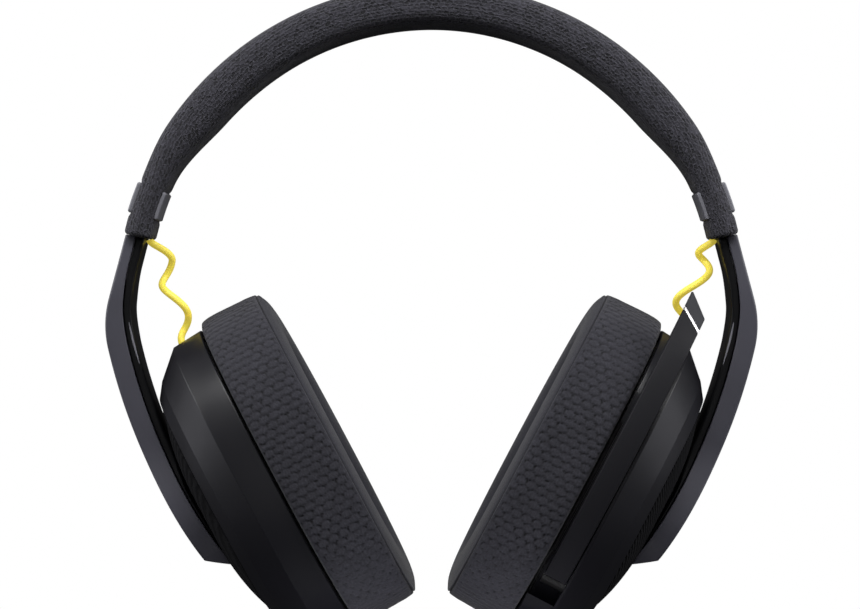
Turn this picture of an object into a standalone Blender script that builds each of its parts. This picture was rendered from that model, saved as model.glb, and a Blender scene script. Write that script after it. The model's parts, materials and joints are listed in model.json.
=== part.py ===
"""Office headset: padded headband, two sliding arms, two ear cups on gimbals, a folding mic boom.

Frame: +Z up, the wearer faces -Y and the wearer's left is +X. The origin is the middle of the
crown's underside. Sizes are in millimetres and degrees, and make_object() scales them to metres.

Cup coordinates: d runs outward from the plane of the ear cushion's face, y is the model's Y, and
v runs up along the cup. Both cups share them, with side = 1 for the left and -1 for the right.
"""
import math

import bmesh
import bpy
from mathutils import Matrix, Vector

MM = 0.001
LEFT, RIGHT = 1, -1
SIDE_NAMES = {LEFT: "left", RIGHT: "right"}
GAP = 0.3  # room left between neighbouring pieces

# --- headband: an arch about a centre below the crown; angles start at the wearer's left ---
CROWN_RADIUS = 77.3
OUTER_RADIUS = 88.4
END_ANGLE = 12.6
END_UNDERSIDE = 79.65
END_OUTER = 87.5
SLIM_ANGLES = (24.0, 40.0)  # between these the underside eases out to END_UNDERSIDE
OUTER_ANGLES = (22.0, 34.0)  # between these the outside eases in to END_OUTER
CROWN_HALF_WIDTH = 17.0
END_HALF_WIDTH = 13.5
WIDEN_ANGLES = (20.0, 75.0)
BAND_CORNER = 4.2
COVER_WALL = 1.0
BAND_SEGMENTS = 25  # an odd count leaves one flat facet centred on the crown
FACET_HALF_ANGLE = (90.0 - END_ANGLE) / BAND_SEGMENTS
CENTRE_Z = -CROWN_RADIUS * math.cos(math.radians(FACET_HALF_ANGLE))

FOAM_TOP = 82.3
FOAM_START = 34.0
FOAM_INSET = 2.6
SPRING_RADII = (82.6, 83.4)
SPRING_HALF_WIDTH = 10.5
CARRIER_RADII = (83.8, 86.2)
CARRIER_START = 36.0
CABLE_RADIUS = 0.9
CABLE_ARCH = 84.4
CABLE_START = 17.0
CABLE_INSET = 1.6  # from the cover's inside to the cable's middle
CLIP_ANGLES = (16.6, 22.4)
OUTER_CLIP_RADII, OUTER_CLIP_HALF_WIDTH = (86.0, 88.2), 9.5
INNER_CLIP_RADII, INNER_CLIP_HALF_WIDTH = (79.4, 81.5), 12.0
CLIP_EDGE = 0.45

# --- slider: a straight rail in a straight housing, on a chord of the arch ---
CHORD_LEAN = 22.0
CHORD_DISTANCE = 83.4
RAIL_THICK = 1.2
RAIL_HALF_WIDTH = 7.5
RAIL_TOP = 31.5
TONGUE_LENGTH = 14.0
TONGUE_HALF_WIDTH = 6.0
HOUSING_TOP = 32.0
HOUSING_WALL = 0.65
HOUSING_SIDE_WALL = 1.4
FLANGE_REACH = (-3.2, 1.3)
FLANGE_HALF_WIDTH = 10.4
FLANGE_START, FLANGE_THICK = 1.0, 1.5
SLOT_GAP = 0.25

# --- arm: its outer outline as runs of (length, lean at start, lean at end) ---
ARM_TOP = (85.3, 17.3)  # outward and above the arch centre
ARM_RUNS = ((16.9, 14.6, 14.6), (13.9, 14.6, -13.1), (68.0, -13.1, -36.9))
ARM_HUB_AT = 83.9  # distance down the outline to the pivot
ARM_HALF_WIDTHS = (11.0, 12.0)
HUB_RADIUS, HUB_REACH = 16.0, 17.8  # to the sides, and down to the arm's end
HUB_START = 24.0  # the arm begins to widen this far above the pivot
HUB_FLAT = 11.0  # the outer face slants inward beyond this distance from the pivot
HUB_SLANT = 1.0
SHELL_DEPTHS = (2.9, 4.5, 5.0)  # at the top, at the knee and at the hub
SHELL_END, COVER_END = 15.4, 17.0  # below the pivot
ARM_WALL, ARM_SIDE_WALL = 1.2, 1.7
ARM_COVER_THICKS = (2.2, 2.2, 1.1)  # at the top, at the knee and at the hub
ARM_COVER_INSET = 0.5
ARM_CORNER = 1.3
THIN_EDGE = 0.6  # what is left of the shell where its slanted end runs out

# --- cup, in cup coordinates ---
CUP_LEAN = 28.0
EAR_FACE = (24.3, -38.1)  # outward and above the arch centre
PIVOT_D = 40.0
OVAL_POWER = 2.4
OVAL_POINTS = 28
CUSHION_DEPTH = 20.9
CUSHION_HALF = (48.0, 41.8)
EAR_HALF = (30.0, 22.0)
CUSHION_ROUND = 4.4
SHELL_START = 21.3
SHELL_WALL = 1.6
SHOULDER_D, SHOULDER_HALF = 30.2, (44.8, 38.8)
CHAMFER_D, CHAMFER_HALF = 37.3, (38.2, 32.2)
RIM_D, RIM_HALF = 40.3, (34.1, 28.1)
LIP = 1.3
DOME_RISE = 1.8
PANEL_THICK = 1.2
FABRIC_THICK = 0.7
PANEL_HOLE = 12.5
PLATE_HALF = (42.4, 32.4)
DRIVER_HOLE = 19.2
DIAPHRAGM_THICK = 0.3

# --- gimbal ---
CLEVIS_BASE_D, CLEVIS_BASE_RADIUS = (46.7, 47.9), 8.8
CLEVIS_HOLE = 9.5  # radius of the opening for it in the arm's inner cover
EAR_D, EAR_HALF_WIDTH = (37.4, 47.5), 3.4  # the clevis's two ears
PIN_RADIUS = 1.25
TRUNNION_RADIUS = 1.5
TRUNNION_REACH = 10.9
BLOCK_HALF = (3.0, 4.0, 5.5)  # along d, y and v
EAR_INNER_V, EAR_OUTER_V = 5.8, 7.8
BRACKET_D, BRACKET_HALF = (34.2, 35.8), (28.0, 7.0)  # along y and v
BOSS_TOP, BOSS_HALF_V = 42.6, 3.0
BOSS_Y = (7.6, 11.2)

# --- microphone boom: a curved bar in the plane of y and v, on the left cup's front wall ---
BOOM_CENTRE_V, BOOM_CENTRE_Y = 8.0, 62.0
BOOM_RADII = (98.4, 103.2)
BOOM_D = (22.4, 28.9)
BOOM_PIVOT = (-28.2, -29.5)  # y and v
BOOM_EYE = 5.4
BOOM_PIN_RADIUS = 1.6
BOOM_TOP_V = 58.5
TIP_SLANT = 5.3
RING_V = 53.0
RING_SLANT = 4.2
RING_THICK = 0.7
BOOM_JOINT_GAP = 0.1
MICROPHONE_RADIUS = 1.1
POCKET_D = (22.1, 29.3)

# --- controls on the back wall of the left cup ---
BUTTON_V, BUTTON_RADIUS = 13.0, 3.2
ROCKER_V, ROCKER_HALF_LENGTH, ROCKER_HALF_WIDTH = -6.0, 7.5, 2.5
LIGHT_V, LIGHT_RADIUS = 21.0, 0.9
CONTROL_D = 26.9
CONTROL_INNER_Y, CONTROL_OUTER_Y = 35.4, 39.4
ROCKER_PIVOT_Y = 36.4
BUTTON_ROOM = 0.35  # around the button and the rocker in their openings
SOCKET_HALF = (1.7, 4.6)  # along d and y
SOCKET_V = (-44.2, -37.0)
SOCKET_WALL, SOCKET_FLOOR_V = 0.3, -38.0

# --- cord: a thin cable preformed into a loose coil, from the band's end to the cup's top ---
CORD_RADIUS = 1.0
CORD_TOP = (78.4, 16.5)
CORD_CUP_D, CORD_CUP_V = 27.0, 45.9
CORD_STEPS = 34
CORD_SIDES = 6
CORD_STRAIGHT = 0.12  # share of its length over which the coil dies out at each end
CORD_COIL = {  # coil radius, shift of its axis toward the head, turns and start phase
    LEFT: (3.2, 0.3, 1.8, 332.0),
    RIGHT: (2.6, 1.6, 1.92, 229.0),
}

# --- materials: linear base colour, roughness, metallic ---
MATERIALS = {
    "knit_charcoal": ((0.040, 0.040, 0.048), 0.95, 0.0),
    "cushion_knit": ((0.034, 0.034, 0.040), 0.95, 0.0),
    "shell_black": ((0.022, 0.022, 0.027), 0.38, 0.0),
    "arm_graphite": ((0.042, 0.041, 0.051), 0.42, 0.0),
    "cover_black": ((0.012, 0.012, 0.014), 0.30, 0.0),
    "trim_grey": ((0.090, 0.090, 0.100), 0.40, 0.0),
    "tip_grey": ((0.065, 0.068, 0.076), 0.38, 0.0),
    "silver": ((0.520, 0.510, 0.540), 0.25, 1.0),
    "steel": ((0.480, 0.480, 0.500), 0.35, 1.0),
    "cord_yellow": ((0.850, 0.720, 0.030), 0.45, 0.0),
    "foam_grey": ((0.060, 0.060, 0.065), 0.98, 0.0),
    "nylon_black": ((0.030, 0.030, 0.032), 0.55, 0.0),
    "board_green": ((0.020, 0.110, 0.050), 0.50, 0.0),
    "battery_blue": ((0.045, 0.090, 0.200), 0.45, 0.0),
    "film_amber": ((0.350, 0.260, 0.130), 0.30, 0.0),
    "light_pipe": ((0.800, 0.800, 0.780), 0.20, 0.0),
}


# ---------------------------------------------------------------- scene helpers
def clear_scene():
    for obj in list(bpy.data.objects):
        bpy.data.objects.remove(obj, do_unlink=True)


def make_materials():
    for name, (colour, roughness, metallic) in MATERIALS.items():
        mat = bpy.data.materials.new(name)
        mat.use_nodes = True
        shader = mat.node_tree.nodes["Principled BSDF"]
        shader.inputs["Base Color"].default_value = (*colour, 1.0)
        shader.inputs["Roughness"].default_value = roughness
        shader.inputs["Metallic"].default_value = metallic


def make_object(name, bm, parent=None, material=None, sharp=35.0):
    """Turn a bmesh in millimetres into an object in metres under its parent empty.

    A parent that sits on its own joint tells its place in the coordinates of the drawing.
    """
    bmesh.ops.recalc_face_normals(bm, faces=bm.faces)
    drawn_at = Vector(parent.get("drawn_at", (0.0, 0.0, 0.0)) if parent else (0.0, 0.0, 0.0))
    bm.transform(Matrix.Scale(MM, 4) @ Matrix.Translation(-drawn_at))
    mesh = bpy.data.meshes.new(name)
    bm.to_mesh(mesh)
    bm.free()
    mesh.shade_smooth()
    mesh.set_sharp_from_angle(angle=math.radians(sharp))
    obj = bpy.data.objects.new(name, mesh)
    bpy.context.collection.objects.link(obj)
    obj.parent = parent
    if material:
        mesh.materials.append(bpy.data.materials[material])
    return obj


def make_empty(name, parent, location, lean=0.0):
    """An empty on a joint's axis, turned about Y by lean degrees."""
    empty = bpy.data.objects.new(name, None)
    bpy.context.collection.objects.link(empty)
    empty.parent = parent
    empty.location = [c * MM for c in location]
    empty.rotation_euler = (0.0, math.radians(lean), 0.0)
    return empty


def joint_empty(name, cup_frame, d, y, v):
    """An empty on a small joint of the left cup, given in cup coordinates."""
    place = hub_point(LEFT, d, y, v)
    empty = make_empty(name, cup_frame, place)
    empty["drawn_at"] = place
    return empty


def combine(target, bm, operation="DIFFERENCE"):
    """Cut a shape out of the target, or join it on, with a hidden helper object."""
    name = f"{target.name}_helper_{len(target.modifiers)}"
    helper = make_object(name, bm, target.parent)
    helper.hide_render = True
    helper.display_type = "WIRE"
    modifier = target.modifiers.new(name, "BOOLEAN")
    modifier.operation = operation
    modifier.solver = "EXACT"
    modifier.object = helper
    return helper


def soften(target, width, segments=1):
    modifier = target.modifiers.new("edge", "BEVEL")
    modifier.width = width * MM
    modifier.segments = segments
    modifier.limit_method = "ANGLE"
    modifier.angle_limit = math.radians(40.0)


# ---------------------------------------------------------------- mesh helpers
def join_rows(bm, rows):
    """Quads between neighbouring rows of vertices, each row a closed outline."""
    for low, high in zip(rows, rows[1:]):
        for i, vertex in enumerate(low):
            j = (i + 1) % len(low)
            bm.faces.new((vertex, low[j], high[j], high[i]))


def add_rows(bm, rings):
    return [[bm.verts.new(point) for point in ring] for ring in rings]


def capped(rings):
    """A solid skinned over rings, with both ends capped."""
    bm = bmesh.new()
    rows = add_rows(bm, rings)
    join_rows(bm, rows)
    bm.faces.new(rows[0])
    bm.faces.new(rows[-1])
    return bm


def looped(rings):
    """A ring-shaped solid: the last ring joins the first."""
    bm = bmesh.new()
    rows = add_rows(bm, rings)
    join_rows(bm, rows + rows[:1])
    return bm


def block(low, high):
    corners = ((0, 0), (1, 0), (1, 1), (0, 1))
    rings = []
    for z in (low[2], high[2]):
        rings.append([((low, high)[i][0], (low, high)[j][1], z) for i, j in corners])
    return capped(rings)


def ease(x):
    t = min(1.0, max(0.0, x))
    return t * t * (3.0 - 2.0 * t)


def mix(a, b, t):
    return a + (b - a) * t


def steps(low, high, count):
    return [mix(low, high, i / count) for i in range(count + 1)]


def circle(radius, count, turn=0.0):
    step = 2.0 * math.pi / count
    angles = [turn + step * i for i in range(count)]
    return [(radius * math.cos(a), radius * math.sin(a)) for a in angles]


def oval(half_v, half_y, power=OVAL_POWER, count=OVAL_POINTS):
    """A superellipse outline as (y, v) pairs."""
    points = []
    for c, s in circle(1.0, count):
        y = math.copysign(abs(c) ** (2.0 / power), c) * half_y
        v = math.copysign(abs(s) ** (2.0 / power), s) * half_v
        points.append((y, v))
    return points


# ---------------------------------------------------------------- headband
def arch(angle, radius, y):
    """Point on the arch at an angle from the wearer's left and a radius about its centre."""
    a = math.radians(angle)
    return (radius * math.cos(a), y, radius * math.sin(a) + CENTRE_Z)


def height(angle):
    return min(angle, 180.0 - angle)


def underside(angle):
    low, high = SLIM_ANGLES
    return mix(CROWN_RADIUS, END_UNDERSIDE, ease((high - height(angle)) / (high - low)))


def outside(angle):
    low, high = OUTER_ANGLES
    return mix(END_OUTER, OUTER_RADIUS, ease((height(angle) - low) / (high - low)))


def band_half_width(angle):
    low, high = WIDEN_ANGLES
    return mix(END_HALF_WIDTH, CROWN_HALF_WIDTH, ease((height(angle) - low) / (high - low)))


def round_section(low, high, half, corner, corner_steps=3):
    """Rectangle with round corners, as (radius, y) pairs."""
    centres = (
        (high - corner, half - corner),
        (low + corner, half - corner),
        (low + corner, corner - half),
        (high - corner, corner - half),
    )
    points = []
    for quarter, (radius, y) in enumerate(centres):
        for i in range(corner_steps + 1):
            a = math.radians(90.0 * (quarter + i / corner_steps))
            points.append((radius + corner * math.cos(a), y + corner * math.sin(a)))
    return points


def plain_section(low, high, half):
    return [(high, -half), (high, half), (low, half), (low, -half)]


def arch_rings(start, segments, section):
    """Rings of a band that spans the arch from start to its mirror angle."""
    angles = steps(start, 180.0 - start, segments)
    return [[arch(a, r, y) for r, y in section(a)] for a in angles]


def cover_section(angle, inset):
    return round_section(
        underside(angle) + inset,
        outside(angle) - inset,
        band_half_width(angle) - inset,
        BAND_CORNER - inset,
    )


def headband_cover():
    bm = bmesh.new()
    outer = add_rows(bm, arch_rings(END_ANGLE, BAND_SEGMENTS, lambda a: cover_section(a, 0.0)))
    inner = add_rows(
        bm, arch_rings(END_ANGLE, BAND_SEGMENTS, lambda a: cover_section(a, COVER_WALL))
    )
    join_rows(bm, outer)
    join_rows(bm, inner)
    join_rows(bm, [outer[0], inner[0]])
    join_rows(bm, [outer[-1], inner[-1]])
    cover = make_object("headband_cover", bm, material="knit_charcoal")
    for side in (LEFT, RIGHT):
        combine(cover, clip_body(side, OUTER_CLIP_RADII, OUTER_CLIP_HALF_WIDTH, GAP))
        combine(cover, clip_body(side, INNER_CLIP_RADII, INNER_CLIP_HALF_WIDTH, GAP))


def headband_foam():
    def section(angle):
        low = underside(angle) + COVER_WALL + GAP
        return plain_section(low, FOAM_TOP, band_half_width(angle) - COVER_WALL - FOAM_INSET)

    make_object("headband_foam", capped(arch_rings(FOAM_START, 17, section)), material="foam_grey")


def headband_spring():
    rings = arch_rings(
        CARRIER_START, 17, lambda a: plain_section(*SPRING_RADII, SPRING_HALF_WIDTH)
    )
    make_object("headband_spring", capped(rings), material="steel")


def headband_carrier():
    """Moulded strip that stiffens the band and leaves room for the cable along its edge."""

    def section(angle):
        return plain_section(*CARRIER_RADII, cable_y(angle) - CABLE_RADIUS - GAP)

    rings = arch_rings(CARRIER_START, 17, section)
    make_object("headband_carrier", capped(rings), material="nylon_black")


def cable_y(angle):
    return band_half_width(angle) - COVER_WALL - CABLE_INSET


def link_cable():
    """The wire pair that joins the two cups, along the back edge inside the band."""

    def section(angle):
        y = cable_y(angle)
        return [(CABLE_ARCH + a, y + b) for a, b in circle(CABLE_RADIUS, 6)]

    make_object("link_cable", capped(arch_rings(CABLE_START, 22, section)), material="nylon_black")


def clip_body(side, radii, half_width, room=0.0):
    """A curved block through the cover's wall; room widens it for the opening around it."""
    low, high = CLIP_ANGLES
    spare = math.degrees(room / END_OUTER)
    section = plain_section(radii[0] - room, radii[1] + room, half_width + room)
    rings = []
    for angle in steps(low - spare, high + spare, 2):
        seen = angle if side == LEFT else 180.0 - angle
        rings.append([arch(seen, r, y) for r, y in section])
    return capped(rings)


def band_clips(side):
    name = SIDE_NAMES[side]
    outer = clip_body(side, OUTER_CLIP_RADII, OUTER_CLIP_HALF_WIDTH)
    inner = clip_body(side, INNER_CLIP_RADII, INNER_CLIP_HALF_WIDTH)
    soften(make_object(f"outer_clip_{name}", outer, material="trim_grey"), CLIP_EDGE)
    soften(make_object(f"inner_clip_{name}", inner, material="trim_grey"), CLIP_EDGE)


# ---------------------------------------------------------------- slider
def slider_exit():
    """Where the rail leaves the band's end, outward and above the arch centre."""
    radius = CHORD_DISTANCE / math.cos(math.radians(CHORD_LEAN - END_ANGLE))
    end = math.radians(END_ANGLE)
    return radius * math.cos(end), radius * math.sin(end)


def slider_housing(side):
    """A flat tube in the band's end, closed off around the rail by a flange."""
    out, up = slider_exit()
    place = (side * out, 0.0, up + CENTRE_Z)
    frame = make_empty(f"housing_frame_{SIDE_NAMES[side]}", None, place, -side * CHORD_LEAN)
    slot_x = RAIL_THICK / 2 + SLOT_GAP
    slot_y = RAIL_HALF_WIDTH + SLOT_GAP
    wall_x, wall_y = slot_x + HOUSING_WALL, slot_y + HOUSING_SIDE_WALL
    flange_end = FLANGE_START + FLANGE_THICK
    tube = block((-wall_x, -wall_y, flange_end - 1.0), (wall_x, wall_y, HOUSING_TOP))
    near, far = sorted(side * x for x in FLANGE_REACH)
    flange = block((near, -FLANGE_HALF_WIDTH, FLANGE_START), (far, FLANGE_HALF_WIDTH, flange_end))
    slot = block((-slot_x, -slot_y, -2.0), (slot_x, slot_y, HOUSING_TOP + 2.0))
    housing = make_object(f"slider_housing_{SIDE_NAMES[side]}", tube, frame, "nylon_black")
    combine(housing, flange, "UNION")
    combine(housing, slot)


def arm_empty(side):
    out, up = slider_exit()
    return make_empty(f"arm_frame_{SIDE_NAMES[side]}", None, (side * out, 0.0, up + CENTRE_Z))


def slider_rail(side, arm_frame):
    """Steel strip: straight in the housing, bent at the exit to run down inside the arm."""
    lean, bend = math.radians(CHORD_LEAN), math.radians(ARM_RUNS[0][1])
    middle = (lean + bend) / 2
    stations = (
        ((-math.sin(lean) * RAIL_TOP, math.cos(lean) * RAIL_TOP), lean, RAIL_HALF_WIDTH),
        ((0.0, 0.0), middle, RAIL_HALF_WIDTH),
        ((math.sin(bend) * 3.0, -math.cos(bend) * 3.0), bend, TONGUE_HALF_WIDTH),
        (
            (math.sin(bend) * TONGUE_LENGTH, -math.cos(bend) * TONGUE_LENGTH),
            bend,
            TONGUE_HALF_WIDTH,
        ),
    )
    rings = []
    for (x, z), turn, half in stations:
        across = (math.cos(turn) * RAIL_THICK / 2, math.sin(turn) * RAIL_THICK / 2)
        corners = ((1, -1), (1, 1), (-1, 1), (-1, -1))
        ring = [(side * (x + a * across[0]), b * half, z + a * across[1]) for a, b in corners]
        rings.append(ring)
    make_object(f"slider_rail_{SIDE_NAMES[side]}", capped(rings), arm_frame, "steel")


# ---------------------------------------------------------------- arm
def arm_outline(distance):
    """Outer-face point (outward, up from the arch centre) and lean at a distance down the arm."""
    out, up = ARM_TOP
    last = len(ARM_RUNS) - 1
    for number, (length, first, final) in enumerate(ARM_RUNS):
        run = distance if number == last else min(distance, length)
        a = math.radians(first)
        bend = math.radians(final - first) / length
        b = a + bend * run
        if bend:
            out += (math.cos(a) - math.cos(b)) / bend
            up += (math.sin(a) - math.sin(b)) / bend
        else:
            out += math.sin(a) * run
            up -= math.cos(a) * run
        distance -= run
        if distance <= 0.0:
            break
    return out, up, b


def arm_point(side, distance, depth, y):
    """Point at a depth inward from the arm's outer face, in the arm's frame."""
    out, up, lean = arm_outline(distance)
    exit_out, exit_up = slider_exit()
    x = out - depth * math.cos(lean) - exit_out
    z = up - depth * math.sin(lean) - exit_up
    return (side * x, y, z)


def arm_half_width(distance):
    """Straight-sided arm that swells into the round hub around the pivot."""
    top, knee = ARM_HALF_WIDTHS
    arm = mix(top, knee, ease(distance / ARM_RUNS[0][0]))
    away = distance - ARM_HUB_AT
    if away < 0.0:
        return mix(arm, HUB_RADIUS, ease(1.0 + away / HUB_START))
    return HUB_RADIUS * math.sqrt(1.0 - (away / HUB_REACH) ** 2)


def along_arm(values, distance):
    """Eases from a value at the arm's top to one at the knee and on to one at the hub."""
    top, knee, hub = values
    bend_at = ARM_RUNS[0][0] + ARM_RUNS[1][0] / 2
    if distance < bend_at:
        return mix(top, knee, ease(distance / bend_at))
    return mix(knee, hub, ease((distance - bend_at) / (ARM_HUB_AT - bend_at)))


def shell_depth(distance):
    return along_arm(SHELL_DEPTHS, distance)


def arm_stations(last):
    """Distances for the arm's sections: close together at the knee and the hub."""
    knee_end = ARM_RUNS[0][0] + ARM_RUNS[1][0]
    upper = [0.0, 8.0] + steps(ARM_RUNS[0][0], knee_end, 4)
    lower = steps(knee_end, ARM_HUB_AT - HUB_START, 2)[1:]
    hub = steps(ARM_HUB_AT - 0.75 * HUB_START, ARM_HUB_AT + HUB_FLAT, 4)
    return upper + lower + hub + steps(ARM_HUB_AT + HUB_FLAT, last, 3)[1:]


def hub_slant(distance):
    """How far the outer face has slanted inward beyond the hub's flat part."""
    return max(0.0, distance - ARM_HUB_AT - HUB_FLAT) * HUB_SLANT


def shell_ring(side, distance):
    half, depth = arm_half_width(distance), shell_depth(distance)
    outer = min(hub_slant(distance), depth - THIN_EDGE)
    corner = min(ARM_CORNER, depth - outer - THIN_EDGE / 2)
    outline = (
        (outer, corner - half),
        (outer, half - corner),
        (outer + corner, half),
        (depth, half),
        (depth, -half),
        (outer + corner, -half),
    )
    return [arm_point(side, distance, n, y) for n, y in outline]


def arm_shell(side, arm_frame):
    rings = [shell_ring(side, s) for s in arm_stations(ARM_HUB_AT + SHELL_END)]
    shell = make_object(f"arm_shell_{SIDE_NAMES[side]}", capped(rings), arm_frame, "arm_graphite")
    hollow = []
    for distance in [-1.0] + arm_stations(ARM_HUB_AT + HUB_FLAT + ARM_WALL)[1:]:
        half = arm_half_width(max(distance, 0.0)) - ARM_SIDE_WALL
        floor = ARM_WALL + hub_slant(distance)
        roof = shell_depth(max(distance, 0.0)) + 1.0
        outline = ((floor, -half), (floor, half), (roof, half), (roof, -half))
        hollow.append([arm_point(side, distance, n, y) for n, y in outline])
    combine(shell, capped(hollow))


def arm_inner_cover(side, arm_frame):
    rings = []
    for distance in arm_stations(ARM_HUB_AT + COVER_END):
        half = arm_half_width(distance) - ARM_COVER_INSET
        low = shell_depth(distance) + GAP
        high = low + along_arm(ARM_COVER_THICKS, distance)
        bevel = ARM_COVER_INSET
        outline = ((low, -half), (low, half), (high - bevel, half), (high, half - bevel))
        outline += ((high, bevel - half), (high - bevel, -half))
        rings.append([arm_point(side, distance, n, y) for n, y in outline])
    name = f"arm_inner_cover_{SIDE_NAMES[side]}"
    cover = make_object(name, capped(rings), arm_frame, "cover_black")
    opening = rod_along_d(side, (PIVOT_D, CLEVIS_BASE_D[1] + 4.0), CLEVIS_HOLE, count=20)
    opening.transform(arm_from_hub(side))
    combine(cover, opening)


# ---------------------------------------------------------------- pivot and gimbal
def pivot_place(side):
    """World place of the cup's pivot, in millimetres."""
    lean = math.radians(CUP_LEAN)
    out = EAR_FACE[0] + PIVOT_D * math.cos(lean)
    up = EAR_FACE[1] - PIVOT_D * math.sin(lean)
    return (side * out, 0.0, up + CENTRE_Z)


def hub_offset(side):
    """The pivot's place in the arm's frame."""
    out, up = slider_exit()
    x, y, z = pivot_place(side)
    return (x - side * out, y, z - up - CENTRE_Z)


def arm_from_hub(side):
    """Matrix from the pivot's leaning frame to the arm's frame, in millimetres."""
    turn = Matrix.Rotation(math.radians(side * CUP_LEAN), 4, "Y")
    return Matrix.Translation(hub_offset(side)) @ turn


def hub_point(side, d, y, v):
    """Cup coordinates to the local frame of the pivot's empties."""
    return (side * (d - PIVOT_D), y, v)


def hub_block(side, d_range, y_range, v_range):
    near, far = sorted(side * (d - PIVOT_D) for d in d_range)
    return block((near, y_range[0], v_range[0]), (far, y_range[1], v_range[1]))


def hub_rings(side, sections):
    """Rings in cup coordinates from (d, outline of (y, v)) pairs."""
    return [[hub_point(side, d, y, v) for y, v in outline] for d, outline in sections]


def rod_along_d(side, d_range, radius, centre=(0.0, 0.0), count=16):
    outline = [(centre[0] + a, centre[1] + b) for a, b in circle(radius, count)]
    return capped(hub_rings(side, [(d, outline) for d in d_range]))


def rod_along_v(side, v_range, radius, count=12):
    rings = []
    for v in v_range:
        rings.append([hub_point(side, PIVOT_D + a, b, v) for a, b in circle(radius, count)])
    return capped(rings)


def rod_along_y(side, y_range, radius, centre, count=12):
    """A rod along Y about a centre given as (d, v)."""
    rings = []
    for y in y_range:
        ring = [hub_point(side, centre[0] + a, y, centre[1] + b) for a, b in circle(radius, count)]
        rings.append(ring)
    return capped(rings)


def clevis(side, hub_frame):
    """Two ears that reach from the arm's hub into the cup and hold the pivot pin."""
    base = rod_along_d(side, CLEVIS_BASE_D, CLEVIS_BASE_RADIUS)
    part = make_object(f"clevis_{SIDE_NAMES[side]}", base, hub_frame, "nylon_black")
    for sign in (-1, 1):
        v_range = sorted((sign * EAR_INNER_V, sign * EAR_OUTER_V))
        y_range = (-EAR_HALF_WIDTH, EAR_HALF_WIDTH)
        combine(part, hub_block(side, EAR_D, y_range, v_range), "UNION")
    combine(part, rod_along_v(side, (-12.0, 12.0), PIN_RADIUS + GAP))


def pivot_pin(side, hub_frame):
    pin = rod_along_v(side, (-EAR_OUTER_V - 0.2, EAR_OUTER_V + 0.2), PIN_RADIUS)
    make_object(f"pivot_pin_{SIDE_NAMES[side]}", pin, hub_frame, "steel")


def gimbal_block(side, gimbal_frame):
    """Block that swivels on the pivot pin and carries the cup on its two trunnions."""
    half_d, half_y, half_v = BLOCK_HALF
    body = hub_block(
        side, (PIVOT_D - half_d, PIVOT_D + half_d), (-half_y, half_y), (-half_v, half_v)
    )
    part = make_object(f"gimbal_block_{SIDE_NAMES[side]}", body, gimbal_frame, "nylon_black")
    reach = (-TRUNNION_REACH, TRUNNION_REACH)
    combine(part, rod_along_y(side, reach, TRUNNION_RADIUS, (PIVOT_D, 0.0)), "UNION")
    combine(part, rod_along_v(side, (-9.0, 9.0), PIN_RADIUS + GAP))


# ---------------------------------------------------------------- cup casing
def oval_rings(side, sections, power=OVAL_POWER):
    """Rings from (d, half_v, half_y) triples."""
    return hub_rings(side, [(d, oval(v, y, power)) for d, v, y in sections])


def grow(half, amount):
    return half[0] + amount, half[1] + amount


def cup_shell(side, cup_frame):
    """The casing: a straight wall, a shoulder, a wide chamfer and a rim with a lip."""
    outside = (
        (SHELL_START, *grow(SHOULDER_HALF, -0.2)),
        (SHOULDER_D, *SHOULDER_HALF),
        (CHAMFER_D, *CHAMFER_HALF),
        (RIM_D, *RIM_HALF),
    )
    inside = (
        (RIM_D, *grow(RIM_HALF, -LIP)),
        (RIM_D - SHELL_WALL, *grow(RIM_HALF, -LIP)),
        (CHAMFER_D - 0.8, *grow(CHAMFER_HALF, -LIP)),
        (SHOULDER_D - 0.6, *grow(SHOULDER_HALF, -SHELL_WALL)),
        (SHELL_START, *grow(SHOULDER_HALF, -SHELL_WALL - 0.2)),
    )
    shell = make_object(
        f"cup_shell_{SIDE_NAMES[side]}",
        looped(oval_rings(side, outside + inside)),
        cup_frame,
        "shell_black",
    )
    if side == LEFT:
        cut_boom_pocket(shell)
        cut_controls(shell)


def cut_boom_pocket(shell):
    """A walled pocket in the front of the casing for the folded boom and its pivot eye."""
    backing = combine(shell, boom_liner(), "UNION")
    boss = rod_along_d(LEFT, (POCKET_D[0], POCKET_D[1] + 2.0), BOOM_EYE + 1.8, BOOM_PIVOT, 20)
    combine(backing, boss, "UNION")
    limits = ((POCKET_D[0] - 1.0, 0.4), (SHOULDER_D, 0.4), (POCKET_D[1] + 3.0, 2.2))
    casing = [(d, *grow(SHOULDER_HALF, -inset)) for d, inset in limits]
    combine(backing, capped(oval_rings(LEFT, casing)), "INTERSECT")
    combine(shell, boom_pocket())
    open_end = SHELL_START - 3.0
    combine(shell, rod_along_d(LEFT, (open_end, POCKET_D[1]), BOOM_EYE + 0.6, BOOM_PIVOT, 20))
    combine(shell, rod_along_d(LEFT, (open_end, 33.0), BOOM_PIN_RADIUS + GAP, BOOM_PIVOT))


def cut_controls(shell):
    """Openings for the button, the rocker, the light and the charging socket."""
    through = (CONTROL_INNER_Y - 1.0, 42.0)
    button_place = (CONTROL_D, BUTTON_V)
    combine(shell, rod_along_y(LEFT, through, BUTTON_RADIUS + BUTTON_ROOM, button_place, 20))
    combine(shell, rod_along_y(LEFT, through, LIGHT_RADIUS + GAP, (CONTROL_D, LIGHT_V)))
    combine(shell, rocker_body(BUTTON_ROOM + 0.1, through))
    half_d, half_y = (half + GAP for half in SOCKET_HALF)
    d_range = (CONTROL_D - half_d, CONTROL_D + half_d)
    combine(shell, hub_block(LEFT, d_range, (-half_y, half_y), (-50.0, -40.0)))


def dome(part):
    """Height of the cup's outer face at a fraction of the way from its middle to the rim."""
    return RIM_D + DOME_RISE * (1.0 - part**2)


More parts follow.
